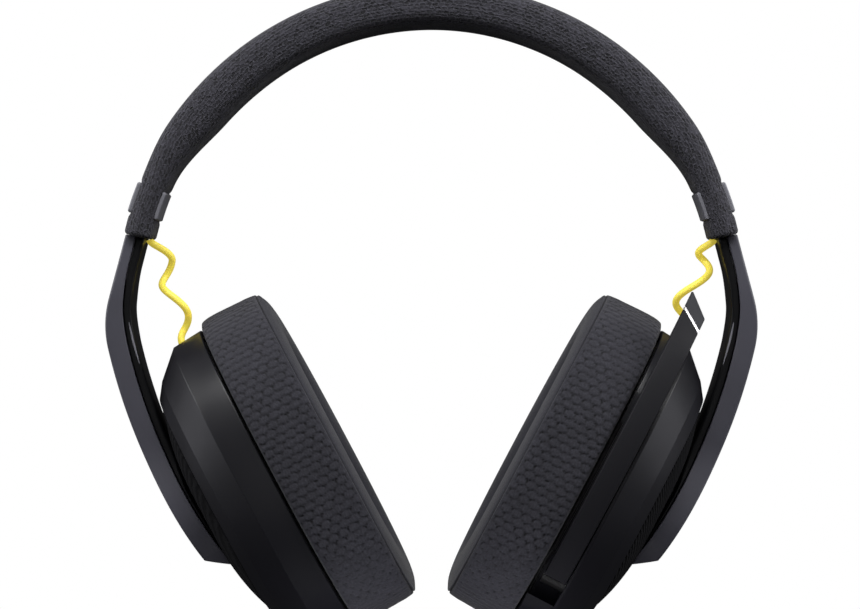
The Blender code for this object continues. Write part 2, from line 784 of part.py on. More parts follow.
def dome_plate(side, top_drop, thick, edge_gap):
    """A crowned oval plate with the round opening for the gimbal in its middle."""
    outline = oval(*grow(RIM_HALF, -LIP - edge_gap))
    hole = [(PANEL_HOLE * c, PANEL_HOLE * s) for c, s in circle(1.0, OVAL_POINTS)]
    top, bottom = [], []
    for t in steps(0.0, 1.0, 3):
        ring = [(mix(a, c, t), mix(b, d, t)) for (a, b), (c, d) in zip(outline, hole)]
        level = dome(mix(1.0, 0.42, t)) - top_drop
        top.append((level, ring))
        bottom.append((level - thick, ring))
    return looped(hub_rings(side, top + bottom[::-1]))


def outer_panel(side, cup_frame):
    plate = dome_plate(side, FABRIC_THICK + GAP, PANEL_THICK, 0.4)
    make_object(f"outer_panel_{SIDE_NAMES[side]}", plate, cup_frame, "nylon_black")


def outer_fabric(side, cup_frame):
    plate = dome_plate(side, 0.0, FABRIC_THICK, GAP)
    make_object(f"outer_fabric_{SIDE_NAMES[side]}", plate, cup_frame, "knit_charcoal")


def cup_bracket(side, cup_frame):
    """Bar across the cup with two bosses that hold the gimbal's trunnions."""
    half_y, half_v = BRACKET_HALF
    bar = hub_block(side, BRACKET_D, (-half_y, half_y), (-half_v, half_v))
    part = make_object(f"cup_bracket_{SIDE_NAMES[side]}", bar, cup_frame, "nylon_black")
    for sign in (-1, 1):
        y_range = sorted(sign * y for y in BOSS_Y)
        boss = hub_block(side, (BRACKET_D[0] + 0.8, BOSS_TOP), y_range, (-BOSS_HALF_V, BOSS_HALF_V))
        combine(part, boss, "UNION")
    bearing = rod_along_y(side, (-13.0, 13.0), TRUNNION_RADIUS + GAP, (PIVOT_D, 0.0))
    combine(part, bearing)


# ---------------------------------------------------------------- speaker and cushion
def plate_with_hole(side, d_range, outer_half, hole_half, hole_power):
    rings = []
    for d, outline in (
        (d_range[0], oval(*outer_half)),
        (d_range[1], oval(*outer_half)),
        (d_range[1], oval(*hole_half, hole_power)),
        (d_range[0], oval(*hole_half, hole_power)),
    ):
        rings.append((d, outline))
    return looped(hub_rings(side, rings))


def clear_of_boom(part):
    """The left cup's plates give way to the boom's pocket."""
    low, high = BOOM_RADII[0] - 1.9, BOOM_RADII[1] + 8.0
    combine(part, boom_sweep((18.0, 32.0), (low, high), (-45.0, 60.0), 14))
    combine(part, rod_along_d(LEFT, (18.0, 32.0), BOOM_EYE + 2.2, BOOM_PIVOT, 20))


def speaker_plate(side, cup_frame):
    half = (DRIVER_HOLE, DRIVER_HOLE)
    plate = plate_with_hole(side, (22.9, 24.8), PLATE_HALF, half, 2.0)
    part = make_object(f"speaker_plate_{SIDE_NAMES[side]}", plate, cup_frame, "nylon_black")
    if side == LEFT:
        clear_of_boom(part)


def cushion_ring(side, cup_frame):
    plate = plate_with_hole(side, (21.3, 22.5), PLATE_HALF, grow(EAR_HALF, 1.5), OVAL_POWER)
    part = make_object(f"cushion_ring_{SIDE_NAMES[side]}", plate, cup_frame, "nylon_black")
    if side == LEFT:
        clear_of_boom(part)


def driver_basket(side, cup_frame):
    """Frame of the loudspeaker: a flange, and a can that holds the magnet's side."""
    profile = ((25.1, 21.4), (26.6, 21.4), (26.6, 18.8), (30.6, 17.0), (30.6, 6.0))
    profile += ((29.4, 6.0), (29.4, 15.6), (26.9, 17.4), (25.1, 17.9))
    rings = hub_rings(side, [(d, circle(r, 24)) for d, r in profile])
    make_object(f"driver_basket_{SIDE_NAMES[side]}", looped(rings), cup_frame, "nylon_black")


def driver_magnet(side, cup_frame):
    magnet = rod_along_d(side, (30.9, 33.7), 11.0, count=20)
    make_object(f"driver_magnet_{SIDE_NAMES[side]}", magnet, cup_frame, "steel")


def driver_diaphragm(side, cup_frame):
    """Thin cone with a dished middle."""
    ear_face = ((26.2, 4.0), (26.6, 10.0), (25.2, 17.2))
    back_face = [(d + DIAPHRAGM_THICK, r) for d, r in reversed(ear_face)]
    rings = hub_rings(side, [(d, circle(r, 20)) for d, r in [*ear_face, *back_face]])
    make_object(f"driver_diaphragm_{SIDE_NAMES[side]}", capped(rings), cup_frame, "film_amber")


def ear_cushion(side, cup_frame):
    """Soft ring around the ear, with rounded edges on its face side."""
    r = CUSHION_ROUND
    sections = (
        (0.0, *grow(CUSHION_HALF, -r)),
        (r * 0.3, *grow(CUSHION_HALF, -r * 0.3)),
        (r, *CUSHION_HALF),
        (CUSHION_DEPTH - 1.0, *CUSHION_HALF),
        (CUSHION_DEPTH, *grow(CUSHION_HALF, -1.0)),
        (CUSHION_DEPTH, *EAR_HALF),
        (r, *EAR_HALF),
        (r * 0.3, *grow(EAR_HALF, r * 0.3)),
        (0.0, *grow(EAR_HALF, r)),
    )
    rings = oval_rings(side, sections)
    make_object(f"ear_cushion_{SIDE_NAMES[side]}", looped(rings), cup_frame, "cushion_knit")


def speaker_scrim(side, cup_frame):
    """Thin cloth across the bottom of the ear hollow."""
    half = grow(EAR_HALF, -0.5)
    rings = oval_rings(side, ((19.6, *half), (20.2, *half)))
    make_object(f"speaker_scrim_{SIDE_NAMES[side]}", capped(rings), cup_frame, "cushion_knit")


# ---------------------------------------------------------------- left cup only
def boom_place(radius, v):
    """(y, v) on the circle about the boom's centre, on the front side of the cup."""
    y = BOOM_CENTRE_Y - math.sqrt(radius**2 - (v - BOOM_CENTRE_V) ** 2)
    return y, v


def boom_sweep(d_range, radii, v_range, segments, slants=(0.0, 0.0)):
    """A bar between two radii about the boom's centre, over a range of v and d.

    A slant lowers the section's far side in d, so that the bar ends on a slope.
    """
    inner, outer = radii
    corners = ((0.0, inner), (1.0, inner), (1.0, outer), (0.0, outer))
    rings = []
    for t in steps(0.0, 1.0, segments):
        v, slant = mix(*v_range, t), mix(*slants, t)
        ring = []
        for across, radius in corners:
            place = boom_place(radius, v - slant * across)
            ring.append(hub_point(LEFT, mix(*d_range, across), *place))
        rings.append(ring)
    return capped(rings)


def boom_liner():
    """Extra wall that backs the boom's pocket in the cup's front wall."""
    low, high = BOOM_RADII[0] - 1.5, BOOM_RADII[0] + 1.2
    return boom_sweep((POCKET_D[0], POCKET_D[1] + 1.5), (low, high), (-38.0, 40.0), 12)


def boom_pocket():
    low, high = BOOM_RADII[0] - GAP, BOOM_RADII[1] + 6.0
    return boom_sweep((SHELL_START - 3.0, POCKET_D[1]), (low, high), (-50.0, 70.0), 16)


def boom_arm(boom_frame):
    """Curved bar from the pivot eye up to the silver ring."""
    bar = boom_sweep(BOOM_D, BOOM_RADII, (BOOM_PIVOT[1], RING_V), 12, (0.0, RING_SLANT))
    part = make_object("boom_arm", bar, boom_frame, "shell_black")
    combine(part, boom_rod(BOOM_D, BOOM_EYE, 20), "UNION")
    combine(part, boom_rod((18.0, 32.0), BOOM_PIN_RADIUS + GAP, 16))


def boom_rod(d_range, radius, count):
    return rod_along_d(LEFT, d_range, radius, BOOM_PIVOT, count)


def boom_ring(boom_frame):
    low = RING_V + BOOM_JOINT_GAP
    v_range = (low, low + RING_THICK)
    ring = boom_sweep(BOOM_D, BOOM_RADII, v_range, 1, (RING_SLANT, RING_SLANT))
    make_object("boom_ring", ring, boom_frame, "silver")


def boom_tip(boom_frame):
    """End cap with a pocket for the microphone on its ear side."""
    v_range = (RING_V + RING_THICK + 2 * BOOM_JOINT_GAP, BOOM_TOP_V)
    cap = boom_sweep(BOOM_D, BOOM_RADII, v_range, 1, (RING_SLANT, TIP_SLANT))
    part = make_object("boom_tip", cap, boom_frame, "tip_grey")
    combine(part, microphone_rod((-1.0, 2.3), MICROPHONE_RADIUS + GAP))


def microphone_rod(depths, radius):
    """Rod along d in the ear side of the boom's tip, over depths from that side."""
    place = boom_place(sum(BOOM_RADII) / 2, RING_V + 3.0)
    d_range = tuple(BOOM_D[0] + depth for depth in depths)
    return rod_along_d(LEFT, d_range, radius, place)


def microphone_capsule(boom_frame):
    rod = microphone_rod((0.2, 2.0), MICROPHONE_RADIUS)
    make_object("microphone_capsule", rod, boom_frame, "steel")


def boom_pin(cup_frame):
    pin = boom_rod((BOOM_D[0] + 0.2, 31.0), BOOM_PIN_RADIUS, 16)
    make_object("boom_pin", pin, cup_frame, "steel")


def power_button(cup_frame):
    frame = joint_empty("button_frame", cup_frame, CONTROL_D, CONTROL_INNER_Y, BUTTON_V)
    place = (CONTROL_D, BUTTON_V)
    button = rod_along_y(LEFT, (CONTROL_INNER_Y, CONTROL_OUTER_Y), BUTTON_RADIUS, place, 20)
    part = make_object("power_button", button, frame, "trim_grey")
    soften(part, 0.3)


def rocker_body(grow_by, y_range):
    """Capsule outline in d and v, stretched along v."""
    half_length = ROCKER_HALF_LENGTH - ROCKER_HALF_WIDTH
    rings = []
    for y in y_range:
        ring = []
        for a, b in circle(ROCKER_HALF_WIDTH + grow_by, 16, math.pi / 16):
            v = ROCKER_V + b + math.copysign(half_length, b)
            ring.append(hub_point(LEFT, CONTROL_D + a, y, v))
        rings.append(ring)
    return capped(rings)


def volume_rocker(cup_frame):
    frame = joint_empty("rocker_frame", cup_frame, CONTROL_D, ROCKER_PIVOT_Y, ROCKER_V)
    body = rocker_body(0.0, (ROCKER_PIVOT_Y, CONTROL_OUTER_Y))
    part = make_object("volume_rocker", body, frame, "trim_grey")
    soften(part, 0.3)


def status_light(cup_frame):
    light = rod_along_y(LEFT, (36.6, 38.0), LIGHT_RADIUS, (CONTROL_D, LIGHT_V))
    make_object("status_light", light, cup_frame, "light_pipe")


def usb_socket(cup_frame):
    """Metal charging socket in the bottom of the left cup."""
    half_d, half_y = SOCKET_HALF
    d_range = (CONTROL_D - half_d, CONTROL_D + half_d)
    body = hub_block(LEFT, d_range, (-half_y, half_y), SOCKET_V)
    part = make_object("usb_socket", body, cup_frame, "steel")
    inner_d = (d_range[0] + SOCKET_WALL, d_range[1] - SOCKET_WALL)
    inner_y = (SOCKET_WALL - half_y, half_y - SOCKET_WALL)
    mouth = SOCKET_V[0] - 2.0
    combine(part, hub_block(LEFT, inner_d, inner_y, (mouth, SOCKET_FLOOR_V)))


def main_board(cup_frame):
    board = hub_block(LEFT, (32.4, 33.6), (-20.0, 20.0), (12.5, 33.0))
    make_object("main_board", board, cup_frame, "board_green")


def battery_cell(cup_frame):
    cell = hub_block(RIGHT, (31.2, 35.6), (-13.0, 13.0), (-33.0, -14.0))
    part = make_object("battery_cell", cell, cup_frame, "battery_blue")
    soften(part, 0.8)


# ---------------------------------------------------------------- cords
def cup_world(side, d, y, v):
    """World place, in millimetres, of a point in cup coordinates."""
    lean = math.radians(CUP_LEAN)
    out = EAR_FACE[0] + d * math.cos(lean) + v * math.sin(lean)
    up = EAR_FACE[1] - d * math.sin(lean) + v * math.cos(lean)
    return side * out, y, up + CENTRE_Z


def cord_path(side):
    """Centre line of the coiled cord in world places."""
    radius, shift, turns, phase = CORD_COIL[side]
    top = (CORD_TOP[0], CORD_TOP[1] + CENTRE_Z)
    end = cup_world(side, CORD_CUP_D, 0.0, CORD_CUP_V)
    path = []
    for t in steps(0.0, 1.0, CORD_STEPS):
        hold = ease(t / CORD_STRAIGHT) * ease((1.0 - t) / CORD_STRAIGHT)
        turn = math.radians(phase + 360.0 * turns * t)
        inward = (shift + radius * math.cos(turn)) * hold
        x = mix(top[0], side * end[0], t) - inward
        z = mix(top[1], end[2], t)
        path.append((side * x, radius * math.sin(turn) * hold, z))
    return path


def cord(side):
    """Round cord swept along its path, with rings held level across the path's run."""
    path = cord_path(side)
    rings = []
    for i, point in enumerate(path):
        before, after = path[max(i - 1, 0)], path[min(i + 1, len(path) - 1)]
        run = [b - a for a, b in zip(before, after)]
        rings.append(ring_across(point, run))
    make_object(f"cord_{SIDE_NAMES[side]}", capped(rings), material="cord_yellow")


def ring_across(point, run):
    """A small ring of points around a point, square to a direction."""
    length = math.sqrt(sum(c * c for c in run))
    x, y, z = (c / length for c in run)
    flat = math.hypot(x, z)
    side_axis = (z / flat, 0.0, -x / flat)
    up_axis = (
        y * side_axis[2],
        z * side_axis[0] - x * side_axis[2],
        -y * side_axis[0],
    )
    ring = []
    for a, b in circle(CORD_RADIUS, CORD_SIDES):
        ring.append(tuple(p + a * s + b * u for p, s, u in zip(point, side_axis, up_axis)))
    return ring


# ---------------------------------------------------------------- assembly
def build_headband():
    headband_cover()
    headband_foam()
    headband_spring()
    headband_carrier()
    link_cable()


def build_arm(side):
    """The arm's pieces, and the empties that the cup hangs on."""
    name = SIDE_NAMES[side]
    arm_frame = arm_empty(side)
    hub_frame = make_empty(f"hub_frame_{name}", arm_frame, hub_offset(side), side * CUP_LEAN)
    slider_rail(side, arm_frame)
    arm_shell(side, arm_frame)
    arm_inner_cover(side, arm_frame)
    clevis(side, hub_frame)
    pivot_pin(side, hub_frame)
    gimbal_frame = make_empty(f"gimbal_frame_{name}", hub_frame, (0.0, 0.0, 0.0))
    gimbal_block(side, gimbal_frame)
    return make_empty(f"cup_frame_{name}", gimbal_frame, (0.0, 0.0, 0.0))


def build_cup(side, cup_frame):
    cup_shell(side, cup_frame)
    outer_panel(side, cup_frame)
    outer_fabric(side, cup_frame)
    cup_bracket(side, cup_frame)
    speaker_plate(side, cup_frame)
    cushion_ring(side, cup_frame)
    driver_basket(side, cup_frame)
    driver_magnet(side, cup_frame)
    driver_diaphragm(side, cup_frame)
    ear_cushion(side, cup_frame)
    speaker_scrim(side, cup_frame)


def build_boom(cup_frame):
    boom_frame = joint_empty("boom_frame", cup_frame, BOOM_D[0], *BOOM_PIVOT)
    boom_arm(boom_frame)
    boom_ring(boom_frame)
    boom_tip(boom_frame)
    microphone_capsule(boom_frame)
    boom_pin(cup_frame)


def build_controls(cup_frame):
    power_button(cup_frame)
    volume_rocker(cup_frame)
    status_light(cup_frame)
    usb_socket(cup_frame)
    main_board(cup_frame)


def build_headset():
    build_headband()
    for side in (LEFT, RIGHT):
        band_clips(side)
        slider_housing(side)
        cord(side)
        cup_frame = build_arm(side)
        build_cup(side, cup_frame)
        if side == LEFT:
            build_boom(cup_frame)
            build_controls(cup_frame)
        else:
            battery_cell(cup_frame)


clear_scene()
make_materials()
build_headset()
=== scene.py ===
"""Looks for the office headset: knitted headband, satin arms, oval cups with relief-knit cushions.

Sizes are in millimetres and degrees; grid_object() scales them to metres. Cup coordinates are
d, outward from the plane of the cushion's face, y, the model's Y, and v, up along the cup.
"""
import json
import math

import bmesh
import bpy
import numpy as np
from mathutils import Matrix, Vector


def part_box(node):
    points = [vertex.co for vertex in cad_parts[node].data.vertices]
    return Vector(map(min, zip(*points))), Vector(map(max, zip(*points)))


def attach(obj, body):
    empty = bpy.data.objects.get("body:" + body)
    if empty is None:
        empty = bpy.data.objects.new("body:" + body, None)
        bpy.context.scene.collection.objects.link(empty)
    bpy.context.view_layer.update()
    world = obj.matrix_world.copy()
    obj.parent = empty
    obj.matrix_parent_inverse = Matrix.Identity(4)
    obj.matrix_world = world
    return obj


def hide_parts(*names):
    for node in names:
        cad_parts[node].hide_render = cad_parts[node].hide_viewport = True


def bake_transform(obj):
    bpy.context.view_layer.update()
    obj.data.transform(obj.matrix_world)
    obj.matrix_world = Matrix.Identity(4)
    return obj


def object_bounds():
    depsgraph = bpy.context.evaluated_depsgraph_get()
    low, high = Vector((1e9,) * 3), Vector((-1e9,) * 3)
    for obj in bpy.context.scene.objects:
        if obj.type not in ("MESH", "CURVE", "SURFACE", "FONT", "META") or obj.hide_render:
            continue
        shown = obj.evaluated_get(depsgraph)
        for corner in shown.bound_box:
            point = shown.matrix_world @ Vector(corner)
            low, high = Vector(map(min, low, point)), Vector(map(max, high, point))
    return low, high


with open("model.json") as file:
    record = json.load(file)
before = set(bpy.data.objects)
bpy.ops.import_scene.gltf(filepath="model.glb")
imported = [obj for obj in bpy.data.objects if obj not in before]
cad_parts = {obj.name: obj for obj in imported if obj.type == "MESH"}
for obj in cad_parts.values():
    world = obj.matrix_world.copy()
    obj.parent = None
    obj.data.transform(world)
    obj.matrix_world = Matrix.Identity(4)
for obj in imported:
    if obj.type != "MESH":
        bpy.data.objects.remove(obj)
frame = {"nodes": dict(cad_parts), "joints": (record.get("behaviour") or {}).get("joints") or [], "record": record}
CAD_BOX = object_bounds()

MM = 0.001
JOINTS = {joint["name"]: joint for joint in frame["joints"]}
SCENE = bpy.context.scene
SQUARE = ((0, 0), (1, 0), (1, 1), (0, 1))

# --- headband, by angle about the arch's centre ---
SPRING_RADIUS, SPRING_START = 82.6, 36.0  # where the steel spring's ends sit
CROWN_RADIUS, OUTER_RADIUS = 77.3, 88.4
END_ANGLE, END_UNDERSIDE, END_OUTER = 12.6, 79.65, 87.5
SLIM_ANGLES, OUTER_ANGLES, WIDEN_ANGLES = (24.0, 41.0), (22.0, 34.0), (20.0, 75.0)
CROWN_HALF_WIDTH, END_HALF_WIDTH = 17.0, 13.5
BAND_CORNER, COVER_WALL = 4.2, 1.0
SLEEVE_ROUND, LIP_WALL = 1.1, 1.3
BAND_START, BAND_FILL = 0.1, 0.3  # inset before it is inflated, and extra on the underside
BAND_REACH = 0.75
PADDING_ANGLES, PINNED_BELOW = (26.0, 40.0), 27.0
CLIP_ANGLES, CLIP_EDGE = (16.6, 22.4), 0.5
CLIP_DENT, CLIP_DENT_WIDTH = 0.35, 1.4

# --- arm, by distance down its outer face ---
ARM_TOP = (85.3, 17.3)
ARM_RUNS = ((16.9, 14.6, 14.6), (13.9, 14.6, -13.1), (68.0, -13.1, -36.9))
ARM_HUB_AT = 83.9
ARM_HALF_WIDTHS = (11.0, 12.0)
HUB_RADIUS, HUB_REACH, HUB_START, HUB_FLAT, HUB_SLANT = 16.0, 19.0, 24.0, 12.0, 0.9
ARM_FIRST = -1.7  # the top edge, a little above ARM_TOP
NECK_FIRST, NECK_INSET, NECK_WALL = -2.3, 0.95, 1.1
SHELL_DEPTHS, SHELL_DEEPENS = (2.9, 5.5), (6.0, 29.0)  # the second pair holds distances
COVER_THICKS, COVER_THINS = (2.2, 0.6), (62.0, 78.0)
SHELL_END, COVER_END = 17.6, 18.1
ARM_WALL, ARM_SIDE_WALL, THIN_EDGE = 1.2, 1.7, 0.6
ARM_CORNER, ARM_RIM = 0.8, 0.35
COVER_GAP, COVER_INSET, COVER_CORNER = 0.3, 0.5, 1.3
CLEVIS_HOLE = 9.5
# where and how wide the painted highlight strips run on the arm's cover
SLOT_RANGE, SLOT_HIGHLIGHT_WIDTH = (22.5, 37.5), 0.26

# --- cup ---
OVAL_POWER = 2.4
SHOULDER_HALF, RIM_HALF, EAR_HALF = (44.8, 38.8), (34.1, 28.1), (30.0, 22.0)
SHELL_OUTLINE = (  # d, inset from the shoulder's oval, corner radius
    (21.3, -0.75, 0.3), (30.1, -0.1, 0.4), (37.3, 6.6, 1.2), (40.3, 10.7, 0.5),
    (40.3, 12.0, 0.25), (38.7, 12.0, 0.3), (36.5, 8.0, 0.8), (29.6, 1.7, 0.8), (21.3, 1.3, 0.3),
)
RIM_D, PANEL_RISE, PANEL_HOLE = 40.3, 1.8, 12.5
DOME_RISE, DOME_POWER, FABRIC_THICK = 4.7, 3.2, 0.7
ARM_CLEARANCE = (0.15, 0.052, 0.018, 0.070)  # at the middle, per mm below, above and aside
FABRIC_EDGE = 1.6  # from the rim's oval to the textile's edge

# --- ear cushion ---
CUSHION_HALF, CUSHION_SWELL = (48.0, 41.8), 0.35  # the second is how far it is fuller than in CAD
CUSHION_START, CUSHION_REACH = 0.7, 0.9
CUSHION_OUTLINE = (  # d, inset from the outer oval; the ear's wall is at about 19
    (21.1, 12.0), (21.1, 7.0), (21.1, 2.8), (20.6, 0.9), (18.4, 0.2), (15.0, 0.0), (11.5, 0.0),
    (8.5, 0.1), (5.2, 0.3), (2.4, 0.9), (1.4, 2.4), (0.6, 4.3), (0.15, 6.6), (-0.1, 9.2),
    (-0.1, 11.5), (0.3, 14.2), (1.6, 16.6), (4.0, 18.2), (8.0, 18.9), (12.5, 19.0), (17.0, 18.9),
    (20.3, 18.0),
)
SEAM_AT = 9  # the outline's point where the seam runs
SEAM_DEPTH, SEAM_WIDTH, SEAM_FORWARD = 0.55, 0.26, 1.2
CELL_WIDE, CELL_ROW, CELL_DEPTH, CELL_GROOVE = 3.1, 2.2, 0.28, 0.45
CELL_TILT, CELL_SOFT = 0.13, 0.42  # shingle height, and how much groove is left between arcs

# --- boom ---
BOOM_CENTRE = (62.0, 8.0)  # y and v
BOOM_RADII = (98.4, 103.2)
BOOM_D = (22.4, 28.9)
BOOM_PIVOT = (-28.2, -29.5)
BOOM_EYE = 6.0
RING_V, RING_THICK, TIP_TOP = 53.0, 0.7, 58.5
RING_SLANT, TIP_SLANT = 4.2, 5.3
POCKET_D, POCKET_GAP, POCKET_WALL = (22.1, 29.3), 0.3, 1.5
PIN_HOLE = 1.9

# --- controls on the left cup's back wall ---
CONTROL_D, BUTTON_V, ROCKER_V, LIGHT_V = 26.9, 13.0, -6.0, 21.0
BUTTON_RADIUS, LIGHT_RADIUS, ROCKER_HALF = 3.2, 0.9, (2.5, 7.5)
CONTROL_Y = (35.4, 39.4)
SOCKET_HALF = (1.7, 4.6)

# --- cords ---
CORD_RADIUS = 1.0
CORD_TOP = {"left": (79.1, 17.6), "right": (78.9, 17.5)}
CORD_END = (27.8, 44.4)  # d and v
CORD_COIL = {  # radius, inward shift, turns, phase, lean, shares before and after the coil
    "left": (3.35, 1.75, 1.86, 335.0, 0.0, 0.165, 0.273),
    "right": (2.78, 2.26, 1.516, 296.6, -0.40, 0.177, 0.350),
}
CORD_END_SHADE = (0.05, 0.03)  # share of the length that gets painted shade at each end
CORD_SPLITS = (0.0, 0.72, 0.86, 1.0)

# --- camera and floor ---
CAMERA_PLACE = (-0.4, -1200.0, -77.8)
LENS, SENSOR = 179.4, 36.0
FLOOR_DROP = 26.0  # clear of the cups when the arms are out


# --- small maths ---
def ease(x):
    t = np.clip(x, 0.0, 1.0)
    return t * t * (3.0 - 2.0 * t)


def mix(a, b, t):
    return a + (b - a) * t


def rise(x, limits):
    """0 below the first limit and 1 above the last, eased between."""
    return ease((x - limits[0]) / (limits[1] - limits[0]))


def at_depth(d, outline):
    """(d, y, v) rows from a depth, or one depth per point, and a (y, v) outline."""
    return np.column_stack([np.full(len(outline), d), outline])


def polar(radius, angle):
    """Point on a circle, for an angle in degrees."""
    a = math.radians(angle)
    return radius * math.cos(a), radius * math.sin(a)


def fillet(corners, arc_steps=5):
    """Closed outline with each (x, y, radius) corner rounded; every corner gets the same count."""
    points = []
    count = len(corners)
    for i, (x, y, radius) in enumerate(corners):
        here = Vector((x, y))
        before = (Vector(corners[i - 1][:2]) - here).normalized()
        after = (Vector(corners[(i + 1) % count][:2]) - here).normalized()
        half = max(before.angle(after) / 2.0, 1e-3)
        cut = radius / math.tan(half)
        start, end = here + before * cut, here + after * cut
        for k in range(arc_steps + 1):
            t = k / arc_steps
            points.append(start * (1 - t) ** 2 + here * 2 * t * (1 - t) + end * t * t)
    return np.array(points)


def rectangle(x, y, radius, arc_steps=5):
    """Rounded rectangle between two x and two y values."""
    return fillet([(x[a], y[b], radius) for a, b in SQUARE], arc_steps)


def circle(radius, count, first=0.0):
    """Points evenly round a circle."""
    return [polar(radius, 360.0 * (k + first) / count) for k in range(count)]


def unit(vectors):
    return vectors / np.maximum(np.linalg.norm(vectors, axis=-1, keepdims=True), 1e-9)


def lengths_to(points):
    """Length along a line up to each of its points."""
    steps = np.linalg.norm(np.diff(points, axis=0), axis=1)
    return np.concatenate([[0.0], np.cumsum(steps)])


def resample(points, count):
    """Closed outline read at even steps along its length, from its first point."""
    ring = np.vstack([points, points[:1]])
    length = lengths_to(ring)
    at = np.linspace(0.0, length[-1], count, endpoint=False)
    return np.stack([np.interp(at, length, ring[:, k]) for k in range(2)], axis=1)


def shrink(outline, amount):
    """A dense closed outline moved inward."""
    run = np.roll(outline, -1, axis=0) - np.roll(outline, 1, axis=0)
    normal = unit(np.stack([run[:, 1], -run[:, 0]], axis=1))
    x, y = outline.T
    area = np.sum(x * np.roll(y, -1) - y * np.roll(x, -1))
    return outline - normal * amount * math.copysign(1.0, area)


def refine(grid, axis, at, closed=True):
    """Smooth curve through the grid's points along an axis, read at fractional places."""
    at = np.asarray(at)
    count = grid.shape[axis]
    base = np.floor(at).astype(int)
    picks = [base + k for k in (-1, 0, 1, 2)]
    picks = [p % count if closed else np.clip(p, 0, count - 1) for p in picks]
    a, b, c, d = (np.take(grid, p, axis) for p in picks)
    shape = [1, 1, 1]
    shape[axis] = len(at)
    t = (at - base).reshape(shape)
    bend = (2 * a - 5 * b + 4 * c - d) * t * t + (3 * b - a - 3 * c + d) * t**3
    return 0.5 * (2 * b + (c - a) * t + bend)


def grid_normals(grid, closed):
    """Unit normals of a grid of points."""
    runs = []
    for axis in (0, 1):
        if closed[axis]:
            runs.append(np.roll(grid, -1, axis) - np.roll(grid, 1, axis))
        else:
            runs.append(np.gradient(grid, axis=axis))
    return unit(np.cross(*runs))


def arc_places(grid, axis):
    """Distance along one axis of a grid, averaged over the other, with the closing step last."""
    step = np.linalg.norm(np.roll(grid, -1, axis) - grid, axis=2).mean(axis=1 - axis)
    return np.concatenate([[0.0], np.cumsum(step)])


# --- meshes ---
def link(name, data):
    """A new object in the scene."""
    obj = bpy.data.objects.new(name, data)
    SCENE.collection.objects.link(obj)
    return obj


def grid_object(name, grid, closed=(False, True), uv=None, sharp=40.0):
    """A mesh over points given as (rows, columns, xyz). An open grid of rows gets end caps."""
    grid = np.asarray(grid)
    rows, columns = grid.shape[:2]
    index = np.arange(rows * columns).reshape(rows, columns)
    if closed[0]:
        index = np.vstack([index, index[:1]])
    if closed[1]:
        index = np.hstack([index, index[:, :1]])
    corners = ((0, 0), (0, 1), (1, 1), (1, 0))
    last = (index.shape[0] - 1, index.shape[1] - 1)
    quads = np.stack([index[i : last[0] + i, j : last[1] + j] for i, j in corners], axis=-1)
    faces = quads.reshape(-1, 4).tolist()
    if not closed[0]:
        faces += [index[0, :columns].tolist(), index[-1, :columns].tolist()]
    mesh = bpy.data.meshes.new(name)
    mesh.from_pydata((grid.reshape(-1, 3) * MM).tolist(), [], faces)
    if uv is not None:
        loops = np.zeros((len(mesh.loops), 2))
        places = np.stack([uv[i : last[0] + i, j : last[1] + j] for i, j in corners], axis=-2)
        loops[: quads.size] = places.reshape(-1, 2)
        mesh.uv_layers.new(name="UVMap").data.foreach_set("uv", loops.ravel())
    tidy_mesh(mesh, sharp)
    return link(name, mesh)


def tidy_mesh(mesh, sharp):
    """Point the faces outward and smooth the shading up to the sharp angle."""
    bm = bmesh.new()
    bm.from_mesh(mesh)
    bmesh.ops.recalc_face_normals(bm, faces=bm.faces)
    bm.to_mesh(mesh)
    bm.free()
    mesh.shade_smooth()
    mesh.set_sharp_from_angle(angle=math.radians(sharp))


def attribute(obj, name, values):
    """A value per vertex, for the material."""
    layer = obj.data.attributes.new(name, "FLOAT", "POINT")
    layer.data.foreach_set("value", np.asarray(values, dtype=np.float32).ravel())


def place(obj, body, slot, *nodes):
    """Give a piece its finish, its body and the CAD nodes that it stands for."""
    obj.data.materials.append(MATERIALS[slot])
    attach(obj, body)
    if nodes:
        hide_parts(*nodes)
    return obj


def cut(target, tool, operation="DIFFERENCE"):
    """Apply a Boolean to a new piece and drop the tool."""
    modifier = target.modifiers.new("cut", "BOOLEAN")
    modifier.operation = operation
    modifier.solver = "EXACT"
    modifier.object = tool
    bpy.context.view_layer.update()
    evaluated = target.evaluated_get(bpy.context.evaluated_depsgraph_get())
    mesh = bpy.data.meshes.new_from_object(evaluated)
    target.modifiers.clear()
    target.data = mesh
    mesh.set_sharp_from_angle(angle=math.radians(35.0))
    bpy.data.objects.remove(tool)


def inflate(grid, closed, pinned, reach, even=0):
    """Cloth simulation of padding under inner pressure; no point moves further than reach.

    even is how often the motion is evened out along the rows, to pull folds flat.
    """
    obj = grid_object("padding", grid, closed)
    group = obj.vertex_groups.new(name="pinned")
    group.add(np.flatnonzero(pinned.ravel()).tolist(), 1.0, "REPLACE")
    modifier = obj.modifiers.new("cloth", "CLOTH")
    modifier.settings.use_pressure = True
    modifier.settings.uniform_pressure_force = 4.0
    modifier.settings.effector_weights.gravity = 0.0
    modifier.settings.vertex_group_mass = "pinned"
    for number in range(1, 21):
        SCENE.frame_set(number)
    evaluated = obj.evaluated_get(bpy.context.evaluated_depsgraph_get())
    co = np.zeros(grid.size)
    evaluated.data.vertices.foreach_get("co", co)
    move = co.reshape(grid.shape) / MM - grid
    bpy.data.objects.remove(obj)
    SCENE.frame_set(1)
    far = np.linalg.norm(move, axis=2, keepdims=True)
    move *= np.minimum(1.0, reach / np.maximum(far, 1e-9))
    for _ in range(even):
        before, after = np.roll(move, 1, 0), np.roll(move, -1, 0)
        if not closed[0]:
            before[0], after[-1] = move[0], move[-1]
        move = before / 4.0 + move / 2.0 + after / 4.0
    return grid + move


